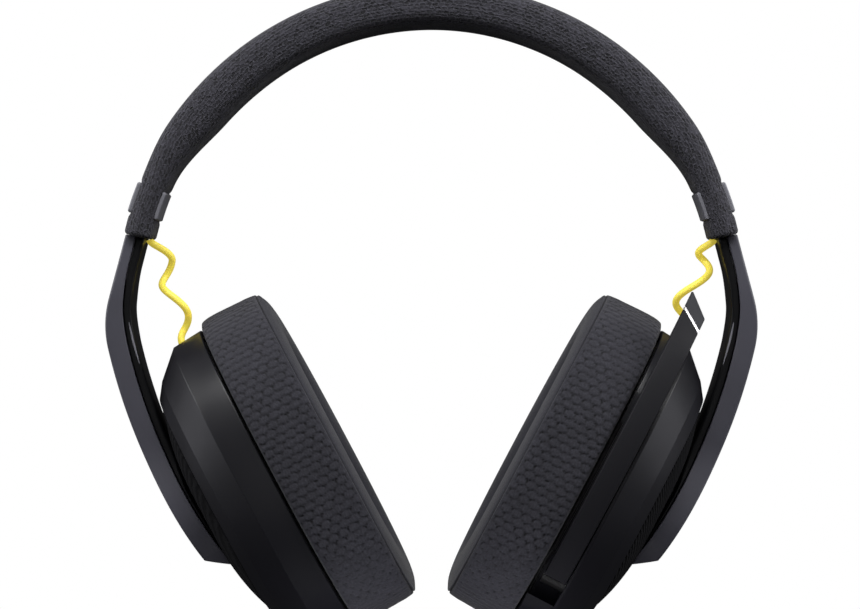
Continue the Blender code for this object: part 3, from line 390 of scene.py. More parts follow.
# --- materials ---
def wire(tree, node, inputs):
    """Link or set a node's inputs."""
    for key, value in inputs.items():
        if isinstance(value, bpy.types.NodeSocket):
            tree.links.new(value, node.inputs[key])
        else:
            node.inputs[key].default_value = value


def add_node(tree, kind, inputs=None, **settings):
    node = tree.nodes.new(f"ShaderNode{kind}")
    for key, value in settings.items():
        setattr(node, key, value)
    wire(tree, node, inputs or {})
    return node


class Finish:
    """Short way to write a node material around its Principled shader."""

    def __init__(self, name, colour, roughness, metallic=0.0, **more):
        self.material = bpy.data.materials.new(f"{name}_finish")
        self.material.use_nodes = True
        self.tree = self.material.node_tree
        self.shader = self.tree.nodes["Principled BSDF"]
        self.colour = (*colour, 1.0)
        self.wire(Base_Color=self.colour, Roughness=roughness, Metallic=metallic, **more)
        self.height = None
        self.space = self.add("TexCoord").outputs["Object"]
        self.uv = self.add("UVMap").outputs["UV"]

    def wire(self, **inputs):
        wire(self.tree, self.shader, {key.replace("_", " "): value for key, value in inputs.items()})

    def add(self, kind, inputs=None, **settings):
        return add_node(self.tree, kind, inputs, **settings)

    def maths(self, operation, a, b=0.0, c=0.0):
        return self.add("Math", {0: a, 1: b, 2: c}, operation=operation).outputs[0]

    def noise(self, size, detail=3.0, stretch=(1.0, 1.0, 1.0), space=None):
        """Noise whose grains are about size millimetres across; a given space is in millimetres."""
        grain = size if space else size * MM
        scale = [1.0 / (grain * s) for s in stretch]
        mapped = self.add("Mapping", {"Vector": space or self.space, "Scale": scale})
        inputs = {"Vector": mapped.outputs[0], "Scale": 1.0, "Detail": detail}
        return self.add("TexNoise", inputs).outputs["Fac"]

    def ramp(self, value, low, high, start, end):
        """A value that goes from start to end as the input goes from low to high."""
        inputs = {"Value": value, "From Min": low, "From Max": high, "To Min": start, "To Max": end}
        return self.add("MapRange", inputs).outputs[0]

    def tint(self, factor, strength):
        """Multiply the colour by strength where the factor is 1."""
        node = self.add("Mix", data_type="RGBA", blend_type="MULTIPLY")
        grey = (strength,) * 3 + (1.0,)
        places = [s.identifier for s in node.inputs]
        values = {"Factor_Float": factor, "A_Color": self.colour, "B_Color": grey}
        wire(self.tree, node, {places.index(key): value for key, value in values.items()})
        self.colour = next(s for s in node.outputs if s.identifier == "Result_Color")
        self.wire(Base_Color=self.colour)

    def vary(self, value, low, high, strength):
        """Tint by strength where a value is above high, and not at all where it is below low."""
        self.tint(self.ramp(value, low, high, 0.0, 1.0), strength)

    def uneven_gloss(self, value, start, end):
        self.wire(Roughness=self.ramp(value, 0.3, 0.7, start, end))

    def bump(self, value, height):
        """Relief of a height in millimetres, on top of any earlier relief."""
        inputs = {"Height": value, "Distance": height * MM, "Strength": 1.0}
        if self.height is not None:
            inputs["Normal"] = self.height
        self.height = self.add("Bump", inputs).outputs[0]
        self.wire(Normal=self.height)


def plastic(name, colour, roughness, grain=0.004, specular=0.5):
    """Moulded plastic: fine spark grain, a slightly uneven gloss and faint flow clouds."""
    finish = Finish(name, colour, roughness, Specular_IOR_Level=specular)
    fine = finish.noise(0.22, 2.0)
    clouds = finish.noise(14.0, 2.0)
    finish.uneven_gloss(clouds, roughness * 0.92, roughness * 1.1)
    finish.vary(clouds, 0.35, 0.65, 0.90)
    finish.bump(fine, grain)
    return finish.material


def metal(name, colour, roughness):
    """Brushed metal: streaks in tone and gloss along one direction."""
    finish = Finish(name, colour, roughness, 1.0)
    streaks = finish.noise(0.2, 4.0, (1.0, 1.0, 12.0))
    finish.uneven_gloss(streaks, roughness * 0.8, roughness * 1.4)
    finish.vary(streaks, 0.3, 0.7, 0.82)
    finish.bump(streaks, 0.004)
    return finish.material


def band_knit():
    """Charcoal knit with staggered rows of sunken dashes along the band."""
    sheen = {"Sheen_Weight": 0.12, "Sheen_Roughness": 0.5}
    finish = Finish("knit_charcoal", (0.036, 0.035, 0.045), 0.92, **sheen)
    wobble = finish.maths("MULTIPLY", finish.noise(1.2, 3.0, space=finish.uv), 1.8)
    shifted = finish.add("VectorMath", {0: finish.uv, 1: wobble}, operation="ADD")
    inputs = {
        "Vector": shifted.outputs[0], "Scale": 1.0, "Mortar Size": 0.34, "Mortar Smooth": 1.0,
        "Brick Width": 1.70, "Row Height": 0.95, "Color1": (0.0,) * 3 + (1.0,),
        "Color2": (0.7,) * 3 + (1.0,), "Mortar": (1.0,) * 4,
    }
    bricks = finish.add("TexBrick", inputs)
    yarn = finish.noise(0.50, 4.0, (1.8, 0.9, 1.0), finish.uv)
    dashes = finish.maths("SUBTRACT", 1.0, bricks.outputs["Color"])
    finish.tint(finish.maths("MULTIPLY", dashes, 0.95), 0.15)
    finish.vary(yarn, 0.40, 0.66, 2.3)
    finish.bump(bricks.outputs["Color"], 0.28)
    finish.bump(yarn, 0.10)
    return finish.material


def cushion_knit():
    """Soft knit over the moulded cells, with painted shade in the grooves between them and along the seam."""
    sheen = {"Sheen_Weight": 0.12, "Sheen_Roughness": 0.45}
    finish = Finish("cushion_knit", (0.026, 0.0255, 0.034), 0.93, **sheen)
    groove_shade = finish.add("Attribute", attribute_name="groove_shade").outputs["Fac"]
    yarn = finish.noise(0.55, 3.0, (1.0, 1.5, 1.0), finish.uv)
    finish.vary(yarn, 0.42, 0.68, 1.45)
    finish.vary(finish.noise(5.0, 2.0), 0.35, 0.65, 0.86)
    # painted shade: darker colour in the cell grooves and the sunken seam
    finish.tint(groove_shade, 0.10)
    finish.bump(yarn, 0.16)
    return finish.material


def ribbed_textile():
    """Dark diagonal rib weave on the cups' outer faces and scrims."""
    finish = Finish("outer_textile", (0.005, 0.005, 0.0062), 0.95, Specular_IOR_Level=0.2)
    inputs = {"Vector": finish.space, "Scale": 330.0, "Distortion": 2.5, "Detail": 2.0}
    ribs = finish.add("TexWave", inputs, bands_direction="DIAGONAL").outputs["Fac"]
    finish.tint(ribs, 1.6)
    finish.vary(finish.noise(0.4), 0.35, 0.65, 0.6)
    finish.bump(ribs, 0.22)
    return finish.material


def cord_skin():
    """Bright yellow cable sheath with a faint painted glow, slightly soft in the light, and painted shade at its
    ends.
    """
    finish = Finish("cord_yellow", (0.98, 0.84, 0.13), 0.42)
    # painted glow: the sheath emits a little yellow light to look brighter
    finish.wire(Emission_Color=(1.0, 0.80, 0.10, 1.0), Emission_Strength=0.42)
    finish.wire(Subsurface_Weight=0.25, Subsurface_Radius=(1.0, 0.8, 0.2), Subsurface_Scale=0.001)
    ends = finish.add("Attribute", attribute_name="ends").outputs["Fac"]
    finish.vary(finish.noise(3.0), 0.35, 0.65, 0.93)
    # painted shade near the ends, where the cord goes into the band's sleeve and into the cup
    finish.tint(ends, 0.35)
    finish.bump(finish.noise(0.3), 0.006)
    return finish.material


def foam():
    """Open cells, pale at their walls."""
    finish = Finish("foam_grey", (0.06, 0.06, 0.065), 0.97)
    cells = finish.add("TexVoronoi", {"Vector": finish.space, "Scale": 1400.0}).outputs["Distance"]
    finish.tint(cells, 1.6)
    finish.bump(cells, 0.3)
    return finish.material


def circuit_board():
    """Green solder mask over a faint pattern of copper runs."""
    finish = Finish("board_green", (0.02, 0.11, 0.05), 0.35)
    inputs = {"Vector": finish.space, "Scale": 420.0, "Mortar Size": 0.06}
    runs = finish.add("TexBrick", inputs).outputs["Fac"]
    finish.tint(runs, 1.9)
    finish.vary(finish.noise(4.0), 0.3, 0.7, 0.8)
    finish.bump(runs, 0.03)
    return finish.material


def make_materials():
    finishes = {
        "knit_charcoal": band_knit(),
        "cushion_knit": cushion_knit(),
        "outer_textile": ribbed_textile(),
        "cord_yellow": cord_skin(),
        "foam_grey": foam(),
        "board_green": circuit_board(),
        "silver": metal("silver", (0.62, 0.61, 0.64), 0.24),
        "steel": metal("steel", (0.48, 0.48, 0.50), 0.34),
    }
    plastics = {  # colour, roughness, depth of the grain and specular level
        "shell_black": ((0.0105, 0.0103, 0.0138), 0.38),
        "boom_matte": ((0.0105, 0.0102, 0.0135), 0.60, 0.004, 0.25),
        "arm_graphite": ((0.080, 0.079, 0.100), 0.44),
        "cover_black": ((0.004, 0.004, 0.005), 0.40, 0.002, 0.25),
        "trim_grey": ((0.230, 0.230, 0.262), 0.38),
        "tip_grey": ((0.034, 0.035, 0.042), 0.60, 0.004, 0.3),
        "nylon_black": ((0.020, 0.020, 0.022), 0.55, 0.012),
        "battery_blue": ((0.045, 0.090, 0.200), 0.35, 0.01),
        "film_amber": ((0.350, 0.260, 0.130), 0.28),
        "light_pipe": ((0.800, 0.800, 0.780), 0.20),
    }
    finishes.update((name, plastic(name, *values)) for name, values in plastics.items())
    return finishes


def finish_cad_nodes():
    """The inner parts keep their CAD shape and get their slot's finish."""
    for subpart in frame["record"]["subparts"]:
        obj = frame["nodes"][subpart["node"]]
        obj.data.materials.clear()
        obj.data.materials.append(MATERIALS[subpart["material_slot"]])


# --- headband ---
def arch(angle, radius, y):
    out, up = polar(1.0, angle)
    return radius * out, y, radius * up + CENTRE_Z


def band_section(angle, inset, count):
    """Round-cornered section of the band, from the middle of its underside round to it again."""
    height = min(angle, 180.0 - angle)
    low = mix(END_UNDERSIDE, CROWN_RADIUS - BAND_FILL, rise(height, SLIM_ANGLES)) + inset
    high = mix(END_OUTER, OUTER_RADIUS, rise(height, OUTER_ANGLES)) - inset
    half = mix(END_HALF_WIDTH, CROWN_HALF_WIDTH, rise(height, WIDEN_ANGLES)) - inset
    corner = max(BAND_CORNER - inset, 1.0)
    corners = ((low, half), (high, half), (high, -half), (low, -half))
    outline = fillet([(low, 0.0, 0.0)] + [(r, y, corner) for r, y in corners], 6)
    return resample(outline[6:], count)


def band_rows(angles, insets, count):
    grid = []
    for angle, inset in zip(angles, insets):
        grid.append([arch(angle, r, y) for r, y in band_section(angle, inset, count)])
    return np.array(grid)


def band_cover():
    """The inflated knit tube, its rounded sleeve ends and its inner face, as one closed skin."""
    coarse, columns, fine_rows = 32, 128, 300
    lip = math.degrees(SLEEVE_ROUND / END_OUTER)
    first = END_ANGLE + lip
    angles = np.linspace(first, 180.0 - first, 76)
    height = np.minimum(angles, 180.0 - angles)
    rest = band_rows(angles, BAND_START * rise(height, PADDING_ANGLES), coarse)
    pinned = np.repeat((height < PINNED_BELOW)[:, None], coarse, axis=1)
    full = inflate(rest, (False, True), pinned, BAND_REACH, 40)
    full = refine(full, 1, np.linspace(0.0, coarse, columns, endpoint=False))
    full = refine(full, 0, np.linspace(0.0, len(angles) - 1.0, fine_rows), closed=False)
    dent_round_clips(full)
    turns = np.radians(np.linspace(90.0, 0.0, 7))[:-1]
    lip_in = SLEEVE_ROUND * (1.0 - np.cos(turns))
    lip_angle = first - lip * np.sin(turns)
    start = band_rows(lip_angle, lip_in, columns)
    end = band_rows(180.0 - lip_angle[::-1], lip_in[::-1], columns)
    away = np.concatenate([[0.1, 0.5], np.linspace(1.4, 90.0 - END_ANGLE, 30)])
    inner = np.concatenate([180.0 - END_ANGLE - away, (END_ANGLE + away)[-2::-1]])
    walls = mix(LIP_WALL, COVER_WALL, ease(np.concatenate([away, away[-2::-1]]) / 1.2))
    grid = np.concatenate([start, full, end, band_rows(inner, walls, columns)])
    cover = grid_object("headband_cover_knit", grid, (True, True), band_uv(grid), 70.0)
    place(cover, "headband", "knit_charcoal", "headband_cover", "headband_foam")


def band_uv(grid):
    """Millimetres along and around the band."""
    rows, columns = grid.shape[:2]
    middle = grid[:, columns // 2]
    along = np.arctan2(middle[:, 2] - CENTRE_Z, middle[:, 0]) * (CROWN_RADIUS + OUTER_RADIUS) / 2.0
    lengths = np.linalg.norm(np.roll(grid, -1, 1) - grid, axis=2).sum(axis=1)
    closing = np.append(np.arange(rows), 0)
    around = lengths[closing, None] * np.linspace(-0.5, 0.5, columns + 1)
    return np.stack(np.broadcast_arrays(along[closing, None], around), axis=2)


def dent_round_clips(grid):
    """Pull the knit in a little beside the clips, where it is drawn into its openings."""
    angle = np.degrees(np.arctan2(grid[..., 2] - CENTRE_Z, np.abs(grid[..., 0])))
    radius = np.hypot(grid[..., 0], grid[..., 2] - CENTRE_Z)
    low, high = CLIP_ANGLES
    beyond = np.maximum(np.maximum(low - angle, angle - high), 0.0) * math.radians(END_OUTER)
    aside = np.maximum(np.abs(grid[..., 1]) - 10.5, 0.0)
    near = ease(1.0 - np.hypot(beyond, aside) / CLIP_DENT_WIDTH)
    outward = np.where(radius > (END_UNDERSIDE + END_OUTER) / 2.0, -1.0, 1.0)
    shift = near * outward * CLIP_DENT / radius
    grid[..., 0] += grid[..., 0] * shift
    grid[..., 2] += (grid[..., 2] - CENTRE_Z) * shift


def clip(where, cup):
    """A curved block with rounded edges, in the place of its CAD node."""
    node, edge = f"{where}_clip_{cup.name}", CLIP_EDGE
    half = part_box(node)[1].y / MM
    vertices = frame["nodes"][node].data.vertices
    radii = [math.hypot(v.co.x / MM, v.co.z / MM - CENTRE_Z) for v in vertices]
    inner, outer = min(radii), max(radii)
    outline = rectangle((inner, outer), (-half, half), edge)
    spare = math.degrees(edge / outer)
    rows = []
    for t in np.linspace(0.0, 1.0, 25):
        angle = mix(*CLIP_ANGLES, t)
        from_end = min(angle - CLIP_ANGLES[0], CLIP_ANGLES[1] - angle) / spare
        inset = edge * (1.0 - math.sqrt(max(0.0, 1.0 - max(0.0, 1.0 - from_end) ** 2)))
        seen = angle if cup.side > 0 else 180.0 - angle
        rows.append([arch(seen, r, y) for r, y in shrink(outline, inset)])
    clip_piece = grid_object(f"band_clip_{where}_{cup.name}", rows, sharp=50.0)
    place(clip_piece, "headband", "trim_grey", node)


# --- arms ---
def arm_outline(distance):
    """Outer-face point, outward and above the arch centre, and the lean at a distance down."""
    out, up = ARM_TOP
    last = len(ARM_RUNS) - 1
    for number, (length, first, final) in enumerate(ARM_RUNS):
        run = distance if number == last else min(distance, length)
        a = math.radians(first)
        bend = math.radians(final - first) / length
        b = a + bend * run
        if bend:
            out += (math.cos(a) - math.cos(b)) / bend
            up += (math.sin(a) - math.sin(b)) / bend
        else:
            out += math.sin(a) * run
            up -= math.cos(a) * run
        distance -= run
        if distance <= 0.0:
            break
    return out, up, b


def arm_row(cup, distance, outline):
    """World points at a distance down the arm, from (depth, y) places."""
    out, up, lean = arm_outline(distance)
    across, fall = polar(1.0, math.degrees(lean))
    return [(cup.side * (out - n * across), y, up - n * fall + CENTRE_Z) for n, y in outline]


def arm_half_width(distance):
    arm = mix(*ARM_HALF_WIDTHS, ease(distance / ARM_RUNS[0][0]))
    away = distance - ARM_HUB_AT
    if away < 0.0:
        return mix(arm, HUB_RADIUS, ease(1.0 + away / HUB_START))
    return HUB_RADIUS * math.sqrt(1.0 - (away / HUB_REACH) ** 2)


def shell_depth(distance):
    return mix(*SHELL_DEPTHS, rise(distance, SHELL_DEEPENS))


def cover_range(distance):
    """Depths between which the inner cover lies."""
    low = shell_depth(distance) + COVER_GAP
    return low, low + mix(*COVER_THICKS, rise(distance, COVER_THINS))


def hub_slant(distance):
    return max(0.0, distance - ARM_HUB_AT - HUB_FLAT) * HUB_SLANT


def arm_skin(cup, name, last, section):
    """A closed skin down the arm. section gives the corners at a distance, and the ends' inset."""
    between = np.linspace(ARM_FIRST + 1.2, last - 1.0, 90)
    rows = []
    for distance in (ARM_FIRST, ARM_FIRST + ARM_RIM, *between, last - ARM_RIM, last):
        corners, inset = section(distance)
        outline = fillet(corners)
        if distance in (ARM_FIRST, last):
            outline = shrink(outline, inset)
        rows.append(arm_row(cup, distance, outline))
    return grid_object(f"{name}_{cup.name}", rows, sharp=50.0)


def shell_section(distance):
    """A trough with a small bevel along its rim."""
    half, depth = arm_half_width(distance), shell_depth(distance)
    outer = min(hub_slant(distance), depth - THIN_EDGE)
    corner = min(ARM_CORNER, (depth - outer) * 0.45)
    rim = min(ARM_RIM, (depth - outer) * 0.3)
    floor = min(ARM_WALL + hub_slant(distance) * 2.2, depth - 0.02)
    inner = half - ARM_SIDE_WALL
    soft = min(0.5, (depth - floor) * 0.4)
    corners = (
        (outer, -half, corner), (outer, half, corner), (depth, half, rim),
        (depth, inner, rim * 0.3), (floor, inner, soft), (floor, -inner, soft),
        (depth, -inner, rim * 0.3), (depth, -half, rim),
    )
    return corners, min(ARM_RIM * 0.7, corner)


def cover_section(distance):
    half = arm_half_width(distance) - COVER_INSET
    low, high = cover_range(distance)
    soft = min(COVER_CORNER, (high - low) * 0.45)
    return ((low, -half, 0.2), (low, half, 0.2), (high, half, soft), (high, -half, soft)), 0.2


def arm_shell(cup):
    shell = arm_skin(cup, "arm_housing", ARM_HUB_AT + SHELL_END, shell_section)
    place(shell, cup.arm, "arm_graphite", f"arm_shell_{cup.name}")


def arm_cover(cup):
    """The dark cover along the arm's inside, with the round opening for the clevis."""
    cover = arm_skin(cup, "arm_lining", ARM_HUB_AT + COVER_END, cover_section)
    cut(cover, cup.rod((38.0, 52.0), CLEVIS_HOLE, count=72))
    place(cover, cup.arm, "cover_black", f"arm_inner_cover_{cup.name}")
    arm_slot_highlight(cup)
    arm_neck(cup)


def arm_neck(cup):
    """Collar from the arm's top into the band's end, open in the middle for the rail."""
    half = ARM_HALF_WIDTHS[0] - 0.8
    low, high = NECK_INSET, cover_range(0.0)[1] - 0.15
    rings = []
    for wall, radius in ((0.0, 0.5), (NECK_WALL, 0.3)):
        a, b, y = low + wall, high - wall * 0.7, half - wall * 1.5
        rings.append(rectangle((a, b), (-y, y), radius))
    outer, inner = rings
    end = ARM_FIRST + 0.3
    steps = ((NECK_FIRST, shrink(outer, 0.25)), (NECK_FIRST + 0.25, outer), (end, outer), (end, inner))
    steps += ((NECK_FIRST, inner),)
    rows = [arm_row(cup, *step) for step in steps]
    neck = grid_object(f"arm_neck_{cup.name}", rows, (True, True), sharp=50.0)
    place(neck, cup.arm, "nylon_black")


def arm_slot_highlight(cup):
    """Thin light grey strips along the cover's front and back sides: painted highlights, raised a little."""
    for sign, where in ((-1, "front"), (1, "back")):
        rows = []
        for t in np.linspace(0.0, 1.0, 31):
            distance = mix(*SLOT_RANGE, t)
            half = arm_half_width(distance) - COVER_INSET
            swell = SLOT_HIGHLIGHT_WIDTH * math.sin(math.pi * t) ** 0.6 + 0.02
            middle = cover_range(distance)[1] - 1.0 + 0.5 * t
            ring = [(middle + a, sign * (half - 0.05 + 0.5 * b)) for a, b in circle(swell, 12)]
            rows.append(arm_row(cup, distance, ring))
        rim = grid_object(f"arm_slot_rim_{where}_{cup.name}", rows, sharp=60.0)
        # the light grey trim finish paints the highlight
        place(rim, cup.arm, "trim_grey")


# --- cups ---
def oval_angles(count):
    """Angles of a superellipse that space its points evenly, about a mid-sized oval."""
    dense = np.linspace(0.0, 2.0 * math.pi, 4001)
    length = lengths_to(oval((45.0, 39.0), dense))
    return np.interp(np.linspace(0.0, length[-1], count, endpoint=False), length, dense)


def oval(half, angles, inset=0.0):
    """Superellipse as (y, v) points."""
    c, s = np.cos(angles), np.sin(angles)
    y = np.copysign(np.abs(c) ** (2.0 / OVAL_POWER), c) * (half[1] - inset)
    v = np.copysign(np.abs(s) ** (2.0 / OVAL_POWER), s) * (half[0] - inset)
    return np.stack([y, v], axis=1)


class Cup:
    """The coordinates of one cup, taken from its swivel joint and its cushion."""

    def __init__(self, name, side):
        joint = JOINTS[f"cup_{name}_swivel"]
        self.name, self.side = name, side
        self.body, self.arm = f"cup_{name}", f"arm_{name}"
        self.up = Vector(joint["axis"]).normalized()
        self.out = side * Vector((0.0, 1.0, 0.0)).cross(self.up)
        pivot = Vector(joint["pos_m"]) / MM
        cushion = frame["nodes"][f"ear_cushion_{name}"].data.vertices
        face = min((vertex.co / MM - pivot).dot(self.out) for vertex in cushion)
        self.origin = pivot + face * self.out
        self.basis = np.array([self.out, (0.0, 1.0, 0.0), self.up])

    def world(self, places):
        """World millimetres of (d, y, v) places."""
        return np.asarray(places, dtype=float) @ self.basis + np.array(self.origin)

    def lathe(self, profile, half, angles):
        """Grid over ovals: each profile point gives d and the inset from the half sizes."""
        return self.world([at_depth(d, oval(half, angles, inset)) for d, inset in profile])

    def prism(self, name, outline, d_range, edge=0.3, slants=(0.0, 0.0), level=0.0):
        """A (y, v) outline carried along d with rounded edges.

        Points above the level are lowered by the slant as they go from the first d to the last.
        """
        start, end = d_range
        rows = []
        for turn in np.linspace(90.0, 0.0, 5):
            across, along = polar(edge, turn)
            rows.append((start + edge - along, edge - across))
        profile = rows + [(end - d + start, inset) for d, inset in rows[::-1]]
        grid = []
        for d, inset in profile:
            ring = shrink(outline, inset)
            part = (d - start) / (end - start)
            height = ring[:, 1]
            share = (height - level) / max(height.max() - level, 1e-6)
            ring[:, 1] = height - part * mix(slants[0], slants[1], ease(share))
            grid.append(at_depth(d, ring))
        return grid_object(name, self.world(grid), sharp=42.0)

    def rod(self, d_range, radius, centre=(0.0, 0.0), count=64):
        """A plain rod along d, for cutting."""
        ring = np.array(circle(radius, count)) + centre
        return grid_object("tool", self.world([at_depth(d, ring) for d in d_range]))

    def lathe_y(self, name, profile, centre, outline=None):
        """Rings about an axis along Y at (d, v): profile gives y and a scale or radius."""
        rows = []
        for y, size in profile:
            ring = outline(size) if outline else circle(size, 48)
            rows.append([(centre[0] + a, y, centre[1] + b) for a, b in ring])
        return grid_object(name, self.world(rows), sharp=42.0)


def cup_shell(cup):
    angles = oval_angles(280)
    grid = cup.lathe(fillet(SHELL_OUTLINE, 6), SHOULDER_HALF, angles)
    shell = grid_object(f"cup_casing_{cup.name}", grid, (True, True), sharp=50.0)
    if cup.side > 0:
        cut_pocket(shell, cup)
        cut_openings(shell, cup)
    place(shell, cup.body, "shell_black", f"cup_shell_{cup.name}")


def boom_side(radius, v):
    """(y, v) on the circle about the boom's centre, on the front side of the cup."""
    return BOOM_CENTRE[0] - math.sqrt(radius**2 - (v - BOOM_CENTRE[1]) ** 2), v


def boom_sweep(cup, radii, v_range, d_range, rows=60):
    grid = []
    for v in np.linspace(*v_range, rows):
        grid.append([(d_range[a], *boom_side(radii[b], v)) for a, b in SQUARE])
    return grid_object("tool", cup.world(grid))


def cut_pocket(shell, cup):
    """The walled pocket for the folded boom in the casing's front."""
    low, high = BOOM_RADII
    first, floor = POCKET_D
    walls = (low - POCKET_WALL, low + 1.2)
    backing = boom_sweep(cup, walls, (-38.0, 40.0), (first, floor + POCKET_WALL))
    cut(backing, cup.rod((first, floor + 2.0), BOOM_EYE + 1.8, BOOM_PIVOT), "UNION")
    limits = ((first - 1.0, 0.5), (floor + 0.9, 0.5), (floor + 3.0, 2.4))
    casing = grid_object("tool", cup.lathe(limits, SHOULDER_HALF, oval_angles(120)))
    cut(backing, casing, "INTERSECT")
    cut(shell, backing, "UNION")
    opening = (18.0, floor)
    cut(shell, boom_sweep(cup, (low - POCKET_GAP, high + 7.0), (-52.0, 70.0), opening, 90))
    cut(shell, cup.rod(opening, BOOM_EYE + 0.6, BOOM_PIVOT))
    cut(shell, cup.rod((18.0, 31.05), PIN_HOLE, BOOM_PIVOT))


def cut_openings(shell, cup):
    """Openings for the button, the rocker, the light and the charging socket."""
    through = (CONTROL_Y[0] - 1.0, 42.5)
    button = cup.lathe_y("tool", [(y, BUTTON_RADIUS + 0.35) for y in through], (CONTROL_D, BUTTON_V))
    light = cup.lathe_y("tool", [(y, LIGHT_RADIUS + 0.15) for y in through], (CONTROL_D, LIGHT_V))
    rocker = cup.lathe_y("tool", [(y, -0.4) for y in through], (CONTROL_D, ROCKER_V), rocker_outline)
    d, y = (half + 0.3 for half in SOCKET_HALF)
    ring = rectangle((CONTROL_D - d, CONTROL_D + d), (-y, y), 1.6, 8)
    socket = grid_object("tool", cup.world([[(d, y, v) for d, y in ring] for v in (-50.0, -40.0)]))
    for tool in (button, light, rocker, socket):
        cut(shell, tool)


def rocker_outline(inset):
    """Capsule about (d, v), smaller by the inset."""
    radius = ROCKER_HALF[0] - inset
    straight = ROCKER_HALF[1] - ROCKER_HALF[0]
    return [(a, b + math.copysign(straight, b)) for a, b in circle(radius, 48, 0.5)]


def arm_inner_line(cup):
    """v and d along the middle of the arm's inner surface, from its lower end upward."""
    line = []
    for distance in np.linspace(ARM_HUB_AT + COVER_END, 45.0, 60):
        point = arm_row(cup, distance, [(cover_range(distance)[1], 0.0)])[0]
        d, _, v = cup.basis @ (np.array(point) - np.array(cup.origin))
        line.append((v, d, arm_half_width(distance)))
    return np.array(line).T


def under_arm(line, y, v, level):
    """Lower a surface level to clear the arm wherever the arm lies over it."""
    below, above = np.maximum(-v, 0.0), np.maximum(v, 0.0)
    first, down, up, aside = ARM_CLEARANCE
    clearance = first + down * below + up * above + aside * np.abs(y)
    room = np.interp(v, line[0], line[1]) - clearance
    hub = np.interp(0.0, line[0], line[2])
    straight = np.abs(y) - np.interp(v, line[0], line[2])
    rounded = (np.hypot(y / hub, v / -line[0][0]) - 1.0) * hub
    outside = np.where(v < 0.0, rounded, straight)
    return mix(np.minimum(level, room), level, ease((outside - 0.7) / 1.3))


def outer_textile(cup):
    """Padded textile over the cup's outer face, hollowed under the arm, open for the gimbal."""
    angles = oval_angles(320)
    edge = oval(RIM_HALF, angles, FABRIC_EDGE)
    hole = np.stack([np.cos(angles), np.sin(angles)], axis=1) * PANEL_HOLE
    line = arm_inner_line(cup)
    top, bottom = [], []
    for t in np.linspace(0.0, 1.0, 44):
        outline = mix(edge, hole, t)
        part = mix(1.0, 0.42, t)
        roll = 0.5 * (1.0 - ease(t / 0.07))
        dome = RIM_D + DOME_RISE * (1.0 - part**DOME_POWER) - roll
        level = under_arm(line, outline[:, 0], outline[:, 1], dome)
        top.append(at_depth(level, outline))
        low = RIM_D + PANEL_RISE * (1.0 - part**2) - FABRIC_THICK
        bottom.append(at_depth(low, outline))
    grid = cup.world(top + bottom[::-1])
    cloth = grid_object(f"outer_textile_{cup.name}", grid, (True, True), sharp=50.0)
    place(cloth, cup.body, "outer_textile", f"outer_fabric_{cup.name}")


def ear_cushion(cup):
    """Padded ring: inflated from a smaller form, then sewn at the seam and pressed into cells."""
    ring = oval_angles(112)
    walls = oval(CUSHION_HALF, ring, -CUSHION_SWELL), oval(EAR_HALF, ring)
    full = cup.world([at_depth(d, mix(*walls, inset / 19.0)) for d, inset in CUSHION_OUTLINE])
    core = refine(full, 0, np.arange(len(full)), True).mean(axis=0, keepdims=True)
    rest = full + unit(core - full) * CUSHION_START
    pinned = np.zeros(rest.shape[:2], dtype=bool)
    pinned[:3] = True
    soft = inflate(rest, (True, True), pinned, CUSHION_REACH)
    columns = 700
    soft = refine(soft, 1, np.linspace(0.0, len(ring), columns, endpoint=False))
    stops = ((0.0, 3.0, 5), (3.0, 8.2, 34), (8.2, 9.8, 16), (9.8, 21.0, 26), (21.0, 22.0, 2))
    at = np.concatenate([np.linspace(a, b, n, endpoint=False) for a, b, n in stops])
    grid = refine(soft, 0, at)
    along = arc_places(grid, 0)
    around = arc_places(grid[12:13], 1)
    seam = np.interp(SEAM_AT, at, along[:-1])
    height = grid[12] @ np.array(cup.up)
    rising = np.tanh((np.roll(height, -1) - np.roll(height, 1)) * 6.0)
    aside = (np.abs(grid[12, :, 1]) / CUSHION_HALF[1]) ** 2
    from_seam = seam - along[:-1, None] + SEAM_FORWARD * aside[None, :]
    groove_shade, lift = cushion_relief(from_seam, around, rising)
    normal = grid_normals(grid, (True, True))
    outward = np.sign(np.sum(normal * (grid - grid.mean(axis=0, keepdims=True)), axis=2).mean())
    grid = grid + normal * outward * lift[:, :, None]
    uv = np.stack(np.meshgrid(along, around, indexing="ij"), axis=2)
    cushion = grid_object(f"ear_cushion_knit_{cup.name}", grid, (True, True), uv=uv, sharp=180.0)
    # painted shade for the grooves and the seam, read by the material
    attribute(cushion, "groove_shade", groove_shade)
    place(cushion, cup.body, "cushion_knit", f"ear_cushion_{cup.name}")


